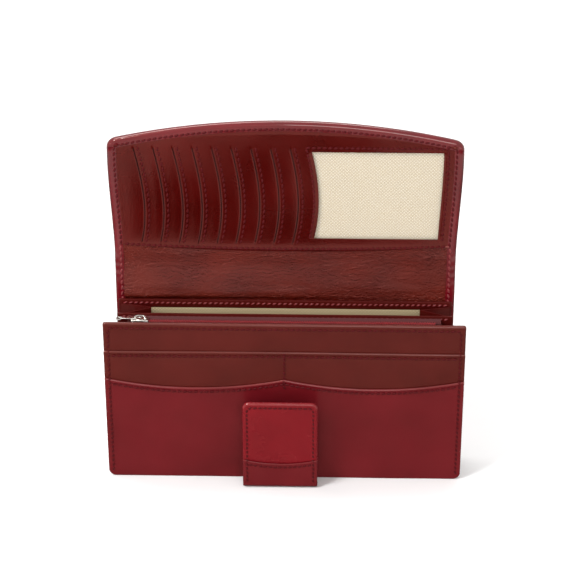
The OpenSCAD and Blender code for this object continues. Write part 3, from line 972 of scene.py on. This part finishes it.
def bend_overlay(u, v):
    """The overlay wraps the tray's lower end from the roll up to the dipped lip."""
    x = TAB_X + u * TAB_W / 2
    top = tab_lip(x)
    angle = np.pi * 0.75 * (1 - np.clip(v / TURN_END, 0, 1))
    z = ROLL_Z + (top - ROLL_Z) * np.clip((v - TURN_END) / (1 - TURN_END), 0, 1)
    lip = 0.2 * np.exp(-((top - z - 0.8) / 0.8) ** 2)
    wrap = 0.5 * np.clip((np.abs(u) - 0.94) / 0.06, 0, 1) ** 2
    r = ROLL_R + 0.45
    y = TAB_FRONT - 0.55 - lip + wrap + r - r * np.cos(angle)
    z = np.where(v < TURN_END, ROLL_Z - (r - 0.1) * np.sin(angle), z)
    shape = on_leaf(x, z, y)
    shape[:, 2] = np.maximum(shape[:, 2], 0.02)
    return shape


piece = bent_grid("tab_overlay", np.linspace(-1, 1, 44), np.linspace(0, 1, 40), bend_overlay)
tab_overlay = thicken(piece, 0.5, 0.15)
finish_piece(tab_overlay, glazed_pocket, "tab", "pocket_leather", "tab_pocket")
print("tab:", round(TAB_W, 1), "by", TAB_H, "mm")

# %% [markdown]
# ## Strap that carries the tab
# The tab hangs on a short strap: it is glued up the leaf's face, turns forward at the foot and
# ends in the tab's roll. Like a real strap it is one strip bent along a profile.

# %% Strips that follow a profile
def strip_along(name, across, rows, ys, zs, wave, size, seed):
    """A strip bent along a profile of y and z; returns it and the profile's length."""
    run = np.concatenate([[0], np.cumsum(np.hypot(np.diff(ys), np.diff(zs)))])

    def bend(x, s):
        y = np.interp(s, run, ys) + wave * ripple(x, s, size, seed)
        return np.stack([x, y, np.interp(s, run, zs)], -1)

    return bent_grid(name, across, np.linspace(0, run[-1], rows), bend), run[-1]


# %% Tab strap
strap_low, strap_high = box_mm("tab_strap")
strap_y = [-10.5, -10.35, -10.3, -10.45, -11.0, -12.0, -14.0, -15.6, -16.6]
strap_z = [9.0, 6.0, 3.2, 2.0, 1.3, 1.05, 1.0, 1.05, 1.3]
piece, strap_length = strip_along(
    "tab_strap_leather", np.linspace(strap_low[0] + 0.6, strap_high[0] - 0.6, 24), 30,
    strap_y, strap_z, 0.08, 9, 87.0)
tab_strap = thicken(piece, 0.8, 0.2)
finish_piece(tab_strap, glazed_tab, None, "tab_leather", "tab_strap")
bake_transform(tab_strap)
print("strap length:", round(strap_length, 1))

# %% [markdown]
# ## Stitches
# Saddle stitches lie slantwise in small holes, with about three millimetres between them. One
# stitch is modelled, a bead of thread over a wide near-black bead, and each row is one mesh of its
# copies. The near-black bead is painted shade: it stands for the shade in the needle hole and the
# stitch's groove.
# A row drawn by a bump would lie flat, and thread has to stand proud to catch the light. The
# bead has only a few faces, because there are several hundred of them.

# %% One stitch, and rows of it
PITCH_MM = 2.85
THREAD_R = 0.3


def stitch_template():
    deselect()
    bpy.ops.mesh.primitive_uv_sphere_add(segments=6, ring_count=5, radius=1)
    bead = bpy.context.object
    points = np.array([v.co[:] for v in bead.data.vertices])
    faces = [list(f.vertices) for f in bead.data.polygons]
    bpy.data.objects.remove(bead, do_unlink=True)
    return points, faces


BEAD, BEAD_FACES = stitch_template()


def mesh_of(name, points, faces, kinds):
    """One smooth mesh of many beads, with a material number for each face."""
    mesh = bpy.data.meshes.new(name)
    mesh.from_pydata([tuple(p * MM) for p in points], [], faces)
    mesh.polygons.foreach_set("material_index", kinds)
    mesh.polygons.foreach_set("use_smooth", [True] * len(faces))
    piece = bpy.data.objects.new(name, mesh)
    scene.collection.objects.link(piece)
    return piece


def stitch_row(name, path, outward, body, slant=14, pitch=PITCH_MM, size=1.0, yarn=thread):
    """Stitches along a path of points in mm, proud of the surface along outward."""
    path = np.array(path, float)
    step = np.linalg.norm(np.diff(path, axis=0), axis=1)
    along = np.concatenate([[0], np.cumsum(step)])
    count = max(2, int(along[-1] / pitch))
    stops = (np.arange(count) + 0.5) / count * along[-1]
    place, ahead, behind = (
        np.stack([np.interp(stops + shift, along, path[:, i]) for i in range(3)], -1)
        for shift in (0, 0.3, -0.3))
    tangent = ahead - behind
    tangent /= np.linalg.norm(tangent, axis=1)[:, None] + 1e-9
    normal = np.broadcast_to(np.array(outward, float), tangent.shape)
    normal = normal - (normal * tangent).sum(1)[:, None] * tangent
    normal /= np.linalg.norm(normal, axis=1)[:, None]
    across = np.cross(normal, tangent)
    lean = math.radians(slant)
    length_way = tangent * math.cos(lean) + across * math.sin(lean)
    side_way = np.cross(normal, length_way)
    # the first bead, wide and flat, takes the near-black material: painted shade for the hole and
    # groove
    parts = [(pitch * 0.46, 0.68, 0.2, 0.0, 1), (pitch * 0.34, THREAD_R, 0.26, 0.12, 0)]
    points, faces, kinds = [], [], []
    for half_l, half_w, half_h, lift, kind in parts:
        local = BEAD * np.array([half_l, half_w * size, half_h * size])
        for c, l, w, n in zip(place, length_way, side_way, normal):
            start = len(points)
            points.extend(c + local[:, :1] * l + local[:, 1:2] * w + local[:, 2:] * n + n * lift)
            faces.extend([[start + i for i in f] for f in BEAD_FACES])
            kinds.extend([kind] * len(BEAD_FACES))
    piece = mesh_of(name, points, faces, kinds)
    finish_piece(piece, yarn, body, "pocket_leather")
    # the second material is the near-black painted shade of the hole
    piece.data.materials.append(hole_painted_shade)
    return face_out(piece)


# %% Stitches on the leaf
leaf_out = (0, -math.cos(LEAF_LEAN), -math.sin(LEAF_LEAN))
flap_out = (0, -math.cos(FLAP_LEAN), math.sin(FLAP_LEAN))
STITCH_IN = 2.6


def leaf_front(x, z):
    """Depth of the visible leather at a point of the leaf."""
    return np.where(z < scallop(x), 0.0, np.where(z < middle_mouth(x), 0.8, 1.6))


def leaf_row(name, xs, zs, **how):
    xs, zs = np.array(xs, float), np.array(zs, float)
    return stitch_row(name, on_leaf(xs, zs, leaf_front(xs, zs) - 0.2), leaf_out, "front", **how)


across = np.linspace(-LEAF_W / 2 + STITCH_IN, LEAF_W / 2 - STITCH_IN, 160)
mouth = np.linspace(-LEAF_W / 2 + 4, LEAF_W / 2 - 4, 160)
leaf_row("stitches_leaf_top", across, np.full(160, LEAF_H - STITCH_IN - 0.4))
leaf_row("stitches_middle_mouth", mouth, middle_mouth(mouth) - 2.9)
leaf_row("stitches_scallop", mouth, scallop(mouth) - 2.6)
leaf_row("stitches_centre", np.zeros(40),
         np.linspace(scallop(np.zeros(1))[0] - 6, MIDDLE_H - 0.8, 40))
SIDES = (("left", -1), ("right", 1))
for mark, edge in SIDES:
    leaf_row("stitches_leaf_" + mark, np.full(120, edge * (LEAF_W / 2 - STITCH_IN)),
             np.linspace(3, LEAF_H - 4, 120), slant=14 * edge)
print("stitch pitch on the leaf:", PITCH_MM)

# %% Stitches on the tab
SEAM_IN, LOW_END, BEND_IN, BEND_DOWN = 2.3, 4.0, 4.2, 5
TOP_IN = 3
half_path = [(TAB_W / 2 - SEAM_IN, LOW_END), (TAB_W / 2 - SEAM_IN, TAB_H - BEND_DOWN),
             (TAB_W / 2 - BEND_IN, TAB_H - TOP_IN)]
tab_path = [(TAB_X - x, z) for x, z in half_path] + [(TAB_X + x, z) for x, z in half_path[::-1]]
part = np.linspace(0, 1, 60)
long_x, long_z = (np.concatenate([a[i] + (b[i] - a[i]) * part
                                  for a, b in zip(tab_path[:-1], tab_path[1:])]) for i in (0, 1))
tab_y = np.where(long_z < tab_lip(long_x), TAB_FRONT - 0.62, TAB_FRONT + 0.22)
stitch_row("stitches_tab", on_leaf(long_x, long_z, tab_y), leaf_out, "tab", pitch=2.6)
lip_x = np.linspace(TAB_X - TAB_W / 2 + 3, TAB_X + TAB_W / 2 - 3, 60)
lip_path = on_leaf(lip_x, tab_lip(lip_x) - SEAM_IN, np.full(60, TAB_FRONT - 0.65))
stitch_row("stitches_tab_lip", lip_path, leaf_out, "tab", pitch=2.6)


# %% Stitches on the flap
def flap_point(x, z, y=0.0):
    return on_path(np.array(x, float), np.array(z, float) + SPINE_L, y)


def flap_row(name, xs, zs, y, **how):
    return stitch_row(name, flap_point(xs, zs, y), flap_out, "flap", **how)


HEM_LINE = 3.9
hem_x = COVER_W / 2 - HEM_LINE
side_up = np.linspace(4, arch(hem_x) - HEM_LINE, 90)
over_top = np.linspace(-hem_x, hem_x, 240)
flap_row("stitches_hem_left", np.full(90, -hem_x), side_up, -0.1, slant=-14)
flap_row("stitches_hem_right", np.full(90, hem_x), side_up, -0.1)
flap_row("stitches_hem_top", over_top, arch(over_top) - HEM_LINE, -0.1)
flat_x = np.linspace(-PANEL_HALF + 2, PANEL_HALF - 2, 200)
low_x, low_z = panel_place(flat_x, np.full(200, 1.9))
flap_row("stitches_panel_base", low_x, low_z, -0.2)
slit_z = np.linspace(SLIT_LOW, SLIT_HIGH + 1, 70)
for i, s in enumerate(slit_x):
    row_x, row_z = panel_place(np.full(70, s + 2.3), slit_z)
    lift = 0.02 + 0.12 * np.sin(np.linspace(0.1, math.pi - 0.1, 70))
    flap_row(f"stitches_slot_{i + 1}", row_x, row_z, 0.2 - lift, slant=-14, size=0.85)
FRAME_OUT = 2.4
left, right = WINDOW_X0 - FRAME_OUT, WINDOW_X1 + FRAME_OUT
top = WINDOW_Z1 + FRAME_OUT
box_x = [np.full(60, left), np.linspace(left, right, 90), np.full(60, right)]
box_z = [np.linspace(WINDOW_Z0, top, 60), np.full(90, top), np.linspace(top, WINDOW_Z0 - 1, 60)]
box_x, box_z = panel_place(np.concatenate(box_x), np.concatenate(box_z))
flap_row("stitches_window", box_x, box_z, 0.1)


# %% [markdown]
# ## Inner walls
# The middle and rear walls are thin boards: leather on one side, cream cloth on the other,
# and a leather band turned over the rear mouth. Each layer is its own rippled sheet, so that
# the edge shows leather and cloth as two layers. One block in two colours would show a
# painted line.

# %% Places and sheets of the walls
MID_Y = box_mm("middle_wall_facing")[0][1]
MID_TOP = box_mm("middle_wall_facing")[1][2]
REAR_Y = box_mm("rear_wall_panel")[0][1] - 0.5
REAR_TOP = box_mm("rear_wall_panel")[1][2]
WALL_FOOT = 1.9


def wall_sheet(name, width, y, z0, z1, thick, wave, seed, material, body, slot, *nodes):
    def bend(x, z):
        return np.stack([x, y + wave * ripple(x, z, 30, seed), z], -1)

    rows = np.linspace(z0, z1, max(4, int((z1 - z0) / 2.5)))
    piece = bent_grid(name, np.linspace(-width / 2, width / 2, 90), rows, bend)
    thicken(piece, thick, min(0.2, thick / 3))
    return finish_piece(piece, material, body, slot, *nodes)


def wall_cloth(name, width, y, z0, z1, wave, seed, material, body, slot, node):
    """A glued cloth lining; the size of its flat cut is printed."""
    piece = wall_sheet(name, width, y, z0, z1, 0.25, wave, seed, material, body, slot, node)
    print(name, "is cut", round(width, 1), "by", round(z1 - z0, 1), "mm")


# %% Middle and rear walls
BAND_H = 4.6
CLOTH_UNDER_BAND = 0.6
band_foot = REAR_TOP - BAND_H
wall_sheet("middle_wall_leather", WALL_W, MID_Y, WALL_FOOT, MID_TOP, 1.0, 0.15, 51.0,
           inner_leather, "front", "inner_leather", "middle_wall_facing")
wall_cloth("middle_wall_twill", WALL_W - 5, MID_Y + 1.05, WALL_FOOT, MID_TOP - 3, 0.1, 53.0,
           cream_twill, "front", "cream_cloth", "middle_wall_lining")
wall_sheet("rear_wall_leather", WALL_W, REAR_Y + 0.5, FOOT_T, REAR_TOP, 0.8, 0.1, 57.0,
           inner_leather, "root", "inner_leather", "rear_wall_panel")
wall_sheet("rear_band_leather", WALL_W, REAR_Y, band_foot, REAR_TOP, 0.5, 0.08, 59.0,
           inner_leather, "root", "inner_leather", "rear_wall_band")
wall_cloth("rear_wall_twill", WALL_W - 9, REAR_Y + 0.15, FOOT_T, band_foot + CLOTH_UNDER_BAND,
           0.18, 61.0, cream_twill, "root", "cream_cloth", "rear_wall_lining")


# %% [markdown]
# ## Side gussets
# A gusset is a strip of leather folded once, with its crease pointing inwards. It joins the
# rear and middle walls.

# %% Gussets
GUSSET_FOLD = 16.0


def gusset(mark, edge):
    lane = np.array([0, 0.06, 0.2, 0.4, 0.46, 0.49, 0.51, 0.54, 0.6, 0.8, 0.94, 1.0])

    def bend(t, v):
        inward = 1 - np.abs(2 * t - 1)
        x = WALL_W / 2 - 1.2 - GUSSET_FOLD * (1 - (1 - inward) ** 1.05)
        y = REAR_Y - 0.1 + (MID_Y + 1.45 - REAR_Y) * t
        z = 1.9 + v * (REAR_TOP - 2.6 + 1.2 * inward - 1.9)
        x = x - 0.25 * ripple(y * 3, z, 14, 71.0) * (1 - inward)
        return np.stack([edge * x, y, z], -1)

    piece = bent_grid("gusset_skin_" + mark, lane, np.linspace(0, 1, 40), bend)
    face_front(thicken(piece, 0.7))
    finish_piece(piece, inner_leather, None, "inner_leather", "gusset_" + mark)
    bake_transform(piece)


for mark, edge in SIDES:
    gusset(mark, edge)
print("gusset depth:", round(MID_Y + 1.45 - REAR_Y, 1))

# %% [markdown]
# ## Cloth behind the zip and behind the back
# The zip closes a pocket of thin cloth: one cut, folded up at its foot, with a narrow leather
# strip at each end. The back has a glued lining too. Both are bent sheets of their real
# thickness, because a solid block would show as one through the open mouth.

# %% Zip pocket's cloth
BAG_TOP = box_mm("zip_pocket_lining")[1][2]
BAG_FOOT = 2.4
BAG_W = 170.0


def leaf_back(z):
    """Where the back of the leaf stands, at height z."""
    return LEAF_FOOT_Y + LEAF_T / math.cos(LEAF_LEAN) - z * math.tan(LEAF_LEAN)


bag_y = [leaf_back(BAG_TOP) + 0.5, leaf_back(6) + 0.5, leaf_back(3) + 0.8, MID_Y - 0.9,
         MID_Y - 0.4, MID_Y - 0.4]
bag_z = [BAG_TOP, 6.0, BAG_FOOT, BAG_FOOT, 4.0, BAG_TOP]
piece, bag_length = strip_along("zip_pocket_cloth", np.linspace(-BAG_W / 2, BAG_W / 2, 70), 120,
                                bag_y, bag_z, 0.1, 24, 91.0)
bag = thicken(piece, 0.2)
finish_piece(bag, cream_twill, "front", "cream_cloth", "zip_pocket_lining")
print("zip pocket cloth:", BAG_W, "by", round(bag_length, 1), "mm")


# %% Ends of the zip pocket, and the back's lining
def zip_side(mark, edge):
    """A narrow strip, folded once, that closes one end of the zip pocket."""
    node = "zip_gusset_" + mark
    low, high = box_mm(node)
    lane = np.array([0, 0.08, 0.25, 0.44, 0.5, 0.56, 0.75, 0.92, 1.0])

    def bend(t, z):
        inward = 1 - np.abs(2 * t - 1)
        back = leaf_back(z) + 0.1
        y = back + (MID_Y - 0.1 - back) * t
        out = 87.6 - 1.7 * inward ** 0.8 * (0.35 + 0.65 * z / high[2])
        return np.stack([edge * (out - 0.15 * ripple(y * 3, z, 12, 95.0) * inward), y, z], -1)

    piece = bent_grid("zip_side_" + mark, lane, np.linspace(low[2], high[2], 44), bend)
    finish_piece(face_front(thicken(piece, 0.4)), inner_leather, "front", "inner_leather", node)


for mark, edge in SIDES:
    zip_side(mark, edge)

BACK_LINING_TOP = 82.0
wall_cloth("back_lining_cloth", 172.0, 11.3, FOOT_T, BACK_LINING_TOP, 0.08, 97.0, slot_cloth,
           "root", "spine_leather", "back_lining")

# %% Stitches along the walls and the spine's hems
wall_x = np.linspace(-WALL_W / 2 + 2, WALL_W / 2 - 2, 120)


def wall_row(name, y, z, body):
    path = np.stack([wall_x, np.full(120, y), np.full(120, z)], -1)
    # the lighter thread here carries a painted highlight
    stitch_row(name, path, (0, -1, 0), body, pitch=2.8, size=0.85, slant=24, yarn=highlit_thread)


wall_row("stitches_middle_wall", MID_Y - 0.05, MID_TOP - 1.9, "front")
wall_row("stitches_rear_wall", REAR_Y - 0.05, REAR_TOP - 1.9, "root")
print("wall stitches:", round(wall_x[-1] - wall_x[0]), "mm long")


def spine_hem_row(name, edge, low, high, count, fold):
    path = on_path(np.full(count, edge * (COVER_W / 2 - 3.4)), np.linspace(low, high, count), -0.1)
    # the lighter thread here carries a painted highlight
    row = stitch_row(name, path, (0, -1, 0), None, slant=14 * edge, pitch=3.2, yarn=highlit_thread)
    over_fold(row, fold)


for mark, edge in SIDES:
    spine_hem_row("stitches_back_hem_" + mark, edge, -FOLD_Z + 6, SEAM_S, 160, 0)
    spine_hem_row("stitches_spine_hem_" + mark, edge, SEAM_S, SPINE_L + 4, 40,
                  SPINE_L)

# %% [markdown]
# ## Zip
# The zip is a nylon coil on woven tape. A coil turn is modelled once and repeated; the two
# rows mesh half a turn apart. A helix of wire would be truer and several times heavier. The
# slider is nickel: two bevelled plates, a crown that holds the pull, and a thin pull with an
# eye.

# %% Coil and tapes
ZIP_LIFT = 1.3
teeth_low, teeth_high = box_mm("zip_teeth_front")
rear_low, rear_high = box_mm("zip_teeth_rear")
TEETH_Y = (min(teeth_low[1], rear_low[1]) + max(teeth_high[1], rear_high[1])) / 2
TEETH_Z = (teeth_low[2] + teeth_high[2]) / 2 + ZIP_LIFT
COIL_PITCH = 1.26


def coil(name, way, node):
    count = int((teeth_high[0] - teeth_low[0]) / COIL_PITCH)
    bead = BEAD * np.array([0.4, 1.25, 0.75])
    points, faces = [], []
    for i in range(count):
        x = teeth_low[0] + COIL_PITCH * (i + 0.5 + (0.5 if way > 0 else 0))
        faces.extend([[len(points) + k for k in f] for f in BEAD_FACES])
        points.extend(bead + np.array([x, TEETH_Y + way * 0.55, TEETH_Z + 0.25]))
    piece = face_front(mesh_of(name, points, faces, [0] * len(faces)))
    return finish_piece(piece, tooth_nylon, "front", "zip_teeth", node)


coil("coil_front", -1, "zip_teeth_front")
coil("coil_rear", 1, "zip_teeth_rear")


def tape(name, node, y0, y1, rise):
    """Woven tape from the coil to its seam, curling up where it is sewn in."""
    def bend(x, t):
        z = TEETH_Z + rise * t ** 2 + 0.1 * ripple(x, t, 15, 81.0)
        return np.stack([x, y0 + (y1 - y0) * t, z], -1)

    across = np.linspace(teeth_low[0] - 2, teeth_high[0] + 2, 90)
    piece = thicken(bent_grid(name, across, np.linspace(0, 1, 7), bend), 0.35)
    return finish_piece(face_front(piece), zip_tape_weave, "front", "zip_tape", node)


tape("zip_tape_leaf_side", "zip_tape_front", TEETH_Y - 0.7, TEETH_Y - 1.7, 0.3)
tape("zip_tape_wall_side", "zip_tape_rear", TEETH_Y + 0.7, MID_Y - 0.25, 1.5)
print("zip length:", round(teeth_high[0] - teeth_low[0], 1))


# %% Blocks and wire rings
def block(size, place, round_mm):
    deselect()
    bpy.ops.mesh.primitive_cube_add(size=1)
    piece = bpy.context.object
    bpy.ops.object.mode_set(mode="EDIT")
    bpy.ops.transform.resize(value=[v * MM for v in size])
    bpy.ops.transform.translate(value=[v * MM for v in place])
    bpy.ops.object.mode_set(mode="OBJECT")
    return soften(piece, round_mm, 3)


def wire_ring(radius, wire, place, turn, stretch=(1, 1, 1)):
    deselect()
    bpy.ops.mesh.primitive_torus_add(major_radius=radius * MM, minor_radius=wire * MM,
                                     major_segments=28, minor_segments=10, rotation=turn)
    piece = bpy.context.object
    bpy.ops.object.transform_apply(location=False, rotation=True, scale=True)
    bpy.ops.object.mode_set(mode="EDIT")
    bpy.ops.mesh.select_all(action="SELECT")
    bpy.ops.transform.resize(value=stretch)
    bpy.ops.transform.translate(value=[v * MM for v in place])
    bpy.ops.object.mode_set(mode="OBJECT")
    return piece


def joined(name, pieces):
    deselect()
    for piece in pieces:
        piece.select_set(True)
    bpy.context.view_layer.objects.active = pieces[0]
    bpy.ops.object.join()
    piece = bpy.context.object
    piece.name = name
    piece.data.name = name
    bpy.ops.object.transform_apply(location=True, rotation=True, scale=True)
    bpy.ops.object.shade_smooth_by_angle(angle=math.radians(35))
    return piece


# %% Slider and pull
slide_low, slide_high = box_mm("zip_slider")
SLIDE_X = (slide_low[0] + slide_high[0]) / 2
PULL_Z = hinge_mm("pull_swing")[1]
slide_w = slide_high[1] - slide_low[1]
slider_body = joined("slider_body", [
    block((9.2, slide_w, 0.9), (SLIDE_X, TEETH_Y, TEETH_Z + 1.35), 0.4),
    block((9.2, slide_w, 0.9), (SLIDE_X, TEETH_Y, TEETH_Z - 1.35), 0.4),
    block((2.2, 1.2, 2.4), (SLIDE_X + 3.3, TEETH_Y, TEETH_Z), 0.3),
    wire_ring(1.9, 0.42, (SLIDE_X + 0.2, TEETH_Y, TEETH_Z + 1.9), (math.pi / 2, 0, 0),
              (1.5, 1, 0.95))])
finish_piece(slider_body, bright_nickel, "slider", "nickel", "zip_slider")
pull_tag = joined("pull_tag", [
    wire_ring(1.3, 0.35, (SLIDE_X - 0.4, TEETH_Y, PULL_Z), (0, 0, 0), (1.15, 1.15, 1)),
    block((8.6, 2.2, 0.6), (SLIDE_X - 6.2, TEETH_Y, PULL_Z + 0.4), 0.25),
    wire_ring(1.25, 0.4, (SLIDE_X - 11, TEETH_Y, PULL_Z), (0, 0, 0))])
finish_piece(pull_tag, bright_nickel, "pull", "nickel", "zip_pull")
print("slider at", round(SLIDE_X, 1))

# %% [markdown]
# ## Snap
# A press stud is turned sheet metal: a flanged cap with a round head on the flap's outside,
# and a socket ring in the tab. Each is a short stack of discs with rounded edges, which is
# what spinning the profile would give, in fewer steps.

# %% Stud and socket
def disc(radius, low, high, round_mm):
    deselect()
    bpy.ops.mesh.primitive_cylinder_add(vertices=48, radius=radius * MM, depth=(high - low) * MM,
                                        location=(0, 0, (low + high) / 2 * MM))
    piece = bpy.context.object
    bpy.ops.object.transform_apply(location=True, rotation=True, scale=True)
    return soften(piece, round_mm, 4)


def snap_piece(name, node, discs, lean, body):
    """Discs stacked on the leather's face, inside the fastener's own place."""
    low, high = box_mm(node)
    middle = (low + high) / 2
    piece = joined(name, [disc(*d) for d in discs])
    turn = Matrix.Rotation(-math.pi / 2 - lean, 4, "X")
    piece.data.transform(Matrix.Translation(Vector(middle) * MM) @ turn)
    return finish_piece(piece, bright_nickel, body, "nickel", node)


snap_low, snap_high = box_mm("snap_stud")
SNAP_R = (snap_high[0] - snap_low[0]) / 2
stud_half = (snap_high[1] - snap_low[1] - 2 * SNAP_R * math.sin(FLAP_LEAN)) / 2
ring_low, ring_high = box_mm("snap_socket")
socket_half = (ring_high[1] - ring_low[1] - 2 * SNAP_R * math.sin(LEAF_LEAN)) / 2
print("snap radius", round(SNAP_R, 2), "halves", round(stud_half, 2), round(socket_half, 2))
stud_discs = [(SNAP_R, -stud_half, -stud_half * 0.1, 0.12),
              (SNAP_R * 0.5, -stud_half * 0.2, stud_half, stud_half * 0.5)]
socket_discs = [(SNAP_R, -socket_half, socket_half * 0.4, 0.12),
                (SNAP_R * 0.62, socket_half * 0.3, socket_half, 0.1)]
snap_piece("press_stud", "snap_stud", stud_discs, FLAP_LEAN, "flap")
snap_piece("press_socket", "snap_socket", socket_discs, -LEAF_LEAN, "tab")


# %% [markdown]
# ## Pieces that keep their own shape
# The stiff boards and the zip's end stops have the right shape already: the boards are die-cut
# fibre board and the stops are crimped metal. They only get their finish.

# %% Finishes on the pieces that keep their own shape
KEPT_FINISHES = {"zip_stop_left": bright_nickel, "zip_stop_right": bright_nickel,
                 "flap_backing": cream_twill, "flap_board": fibre_board,
                 "back_board": fibre_board}
for name, material in KEPT_FINISHES.items():
    slots = frame["nodes"][name].data.materials
    slots.clear()
    slots.append(material)
print("pieces that keep their shape:", len(KEPT_FINISHES))

# %% [markdown]
# ## Camera and light
# The camera looks down on the open wallet from a little right of its middle, through a long
# lens, so that its sides stay nearly upright. Wide soft lights give the gloss something to
# mirror, because polished leather shows its surroundings more than its own colour.

# %% Camera
ELEVATION = math.radians(29.45)
AZIMUTH = math.radians(1.2)
DISTANCE = 1.2085
LENS_MM = 146.2
target = Vector((0.0002, 0, 0.1141))
back = Vector((math.sin(AZIMUTH) * math.cos(ELEVATION), -math.cos(AZIMUTH) * math.cos(ELEVATION),
               math.sin(ELEVATION)))
side = (-back).cross(Vector((0, 0, 1))).normalized()
upward = side.cross(-back)
bpy.ops.object.camera_add(location=target + back * DISTANCE)
camera = bpy.context.object
camera.matrix_world = Matrix.Translation(target + back * DISTANCE) @ Matrix(
    (side, upward, back)).transposed().to_4x4()
camera.data.lens = LENS_MM
camera.data.sensor_width = 36
scene.camera = camera
print("camera stands at", [round(v, 3) for v in target + back * DISTANCE])

# %% Floor
deselect()
bpy.ops.mesh.primitive_plane_add(size=8, location=(0, 0, -0.0002))
floor = bpy.context.object
floor.name = "floor"
floor_paper, floor_tree, floor_shader = new_material("white_paper")
settle(floor_shader, Base_Color=dye("#f4f4f4"), Roughness=0.6)
floor.data.materials.append(floor_paper)
floor.visible_glossy = False
print("floor:", tuple(floor.dimensions))

# %% [markdown]
# ## The room that the gloss mirrors
# The room is white above and dim below the horizon, as a light tent on a table is. A dark
# panel stands behind the camera: glossy leather that faces it shows its own deep red, and
# leather that faces away turns pale. It could be a real plane, but that would hide the lights.

# %% Room
world = bpy.data.worlds.new("studio")
scene.world = world
world.use_nodes = True
sky = world.node_tree
way = add(sky, "TexCoord").outputs["Generated"]
height = add(sky, "SeparateXYZ", {"Vector": way}).outputs["Z"]
room = add(sky, "ValToRGB", {"Fac": add(sky, "MapRange", {"Value": height}, From_Min=-1.0,
                                        From_Max=1.0).outputs["Result"]})
room.color_ramp.elements[0].color = (0.12, 0.11, 0.11, 1)
room.color_ramp.elements[1].color = (1, 1, 1, 1)
for place, light in ((0.215, 0.14), (0.28, 0.3), (0.312, 1.2), (0.5, 1.0)):
    room.color_ramp.elements.new(place).color = (light, light * 0.93, light * 0.9, 1)
# the dark panel: where it stands, and the cosines between which its edge fades
PANEL_WAY = (-0.022, -0.918, -0.395)
PANEL_EDGE = (0.9962, 0.9980)
towards = add(sky, "VectorMath", {0: way}, operation="DOT_PRODUCT")
towards.inputs[1].default_value = PANEL_WAY
shade = add(sky, "MapRange", {"Value": towards.outputs["Value"]}, From_Min=PANEL_EDGE[0],
            From_Max=PANEL_EDGE[1], To_Min=1.0, To_Max=0.03)
mixed = add(sky, "VectorMath", {0: room.outputs["Color"]}, operation="SCALE")
sky.links.new(shade.outputs["Result"], mixed.inputs["Scale"])
sky.links.new(mixed.outputs["Vector"], sky.nodes["Background"].inputs["Color"])
sky.nodes["Background"].inputs["Strength"].default_value = 0.8
scene.view_settings.view_transform = "Standard"
print("room ramp stops:", len(room.color_ramp.elements))


# %% Lights
def soft_light(name, place, aim, size, power):
    bpy.ops.object.light_add(type="AREA", location=place)
    light = bpy.context.object
    light.name = name
    light.data.shape = "RECTANGLE"
    light.data.size, light.data.size_y = size
    light.data.energy = power
    light.rotation_euler = (Vector(aim) - Vector(place)).to_track_quat("-Z", "Y").to_euler()


soft_light("key", (-0.9, -0.7, 1.3), (0, 0, 0.1), (0.45, 0.6), 20)
soft_light("fill", (0.3, -1.6, 0.9), (0, 0, 0.1), (0.7, 0.5), 5)
soft_light("top", (-0.2, 0.35, 1.4), (0, 0, 0.1), (1.2, 0.35), 9)
print("lights:", [light.name for light in bpy.data.lights])
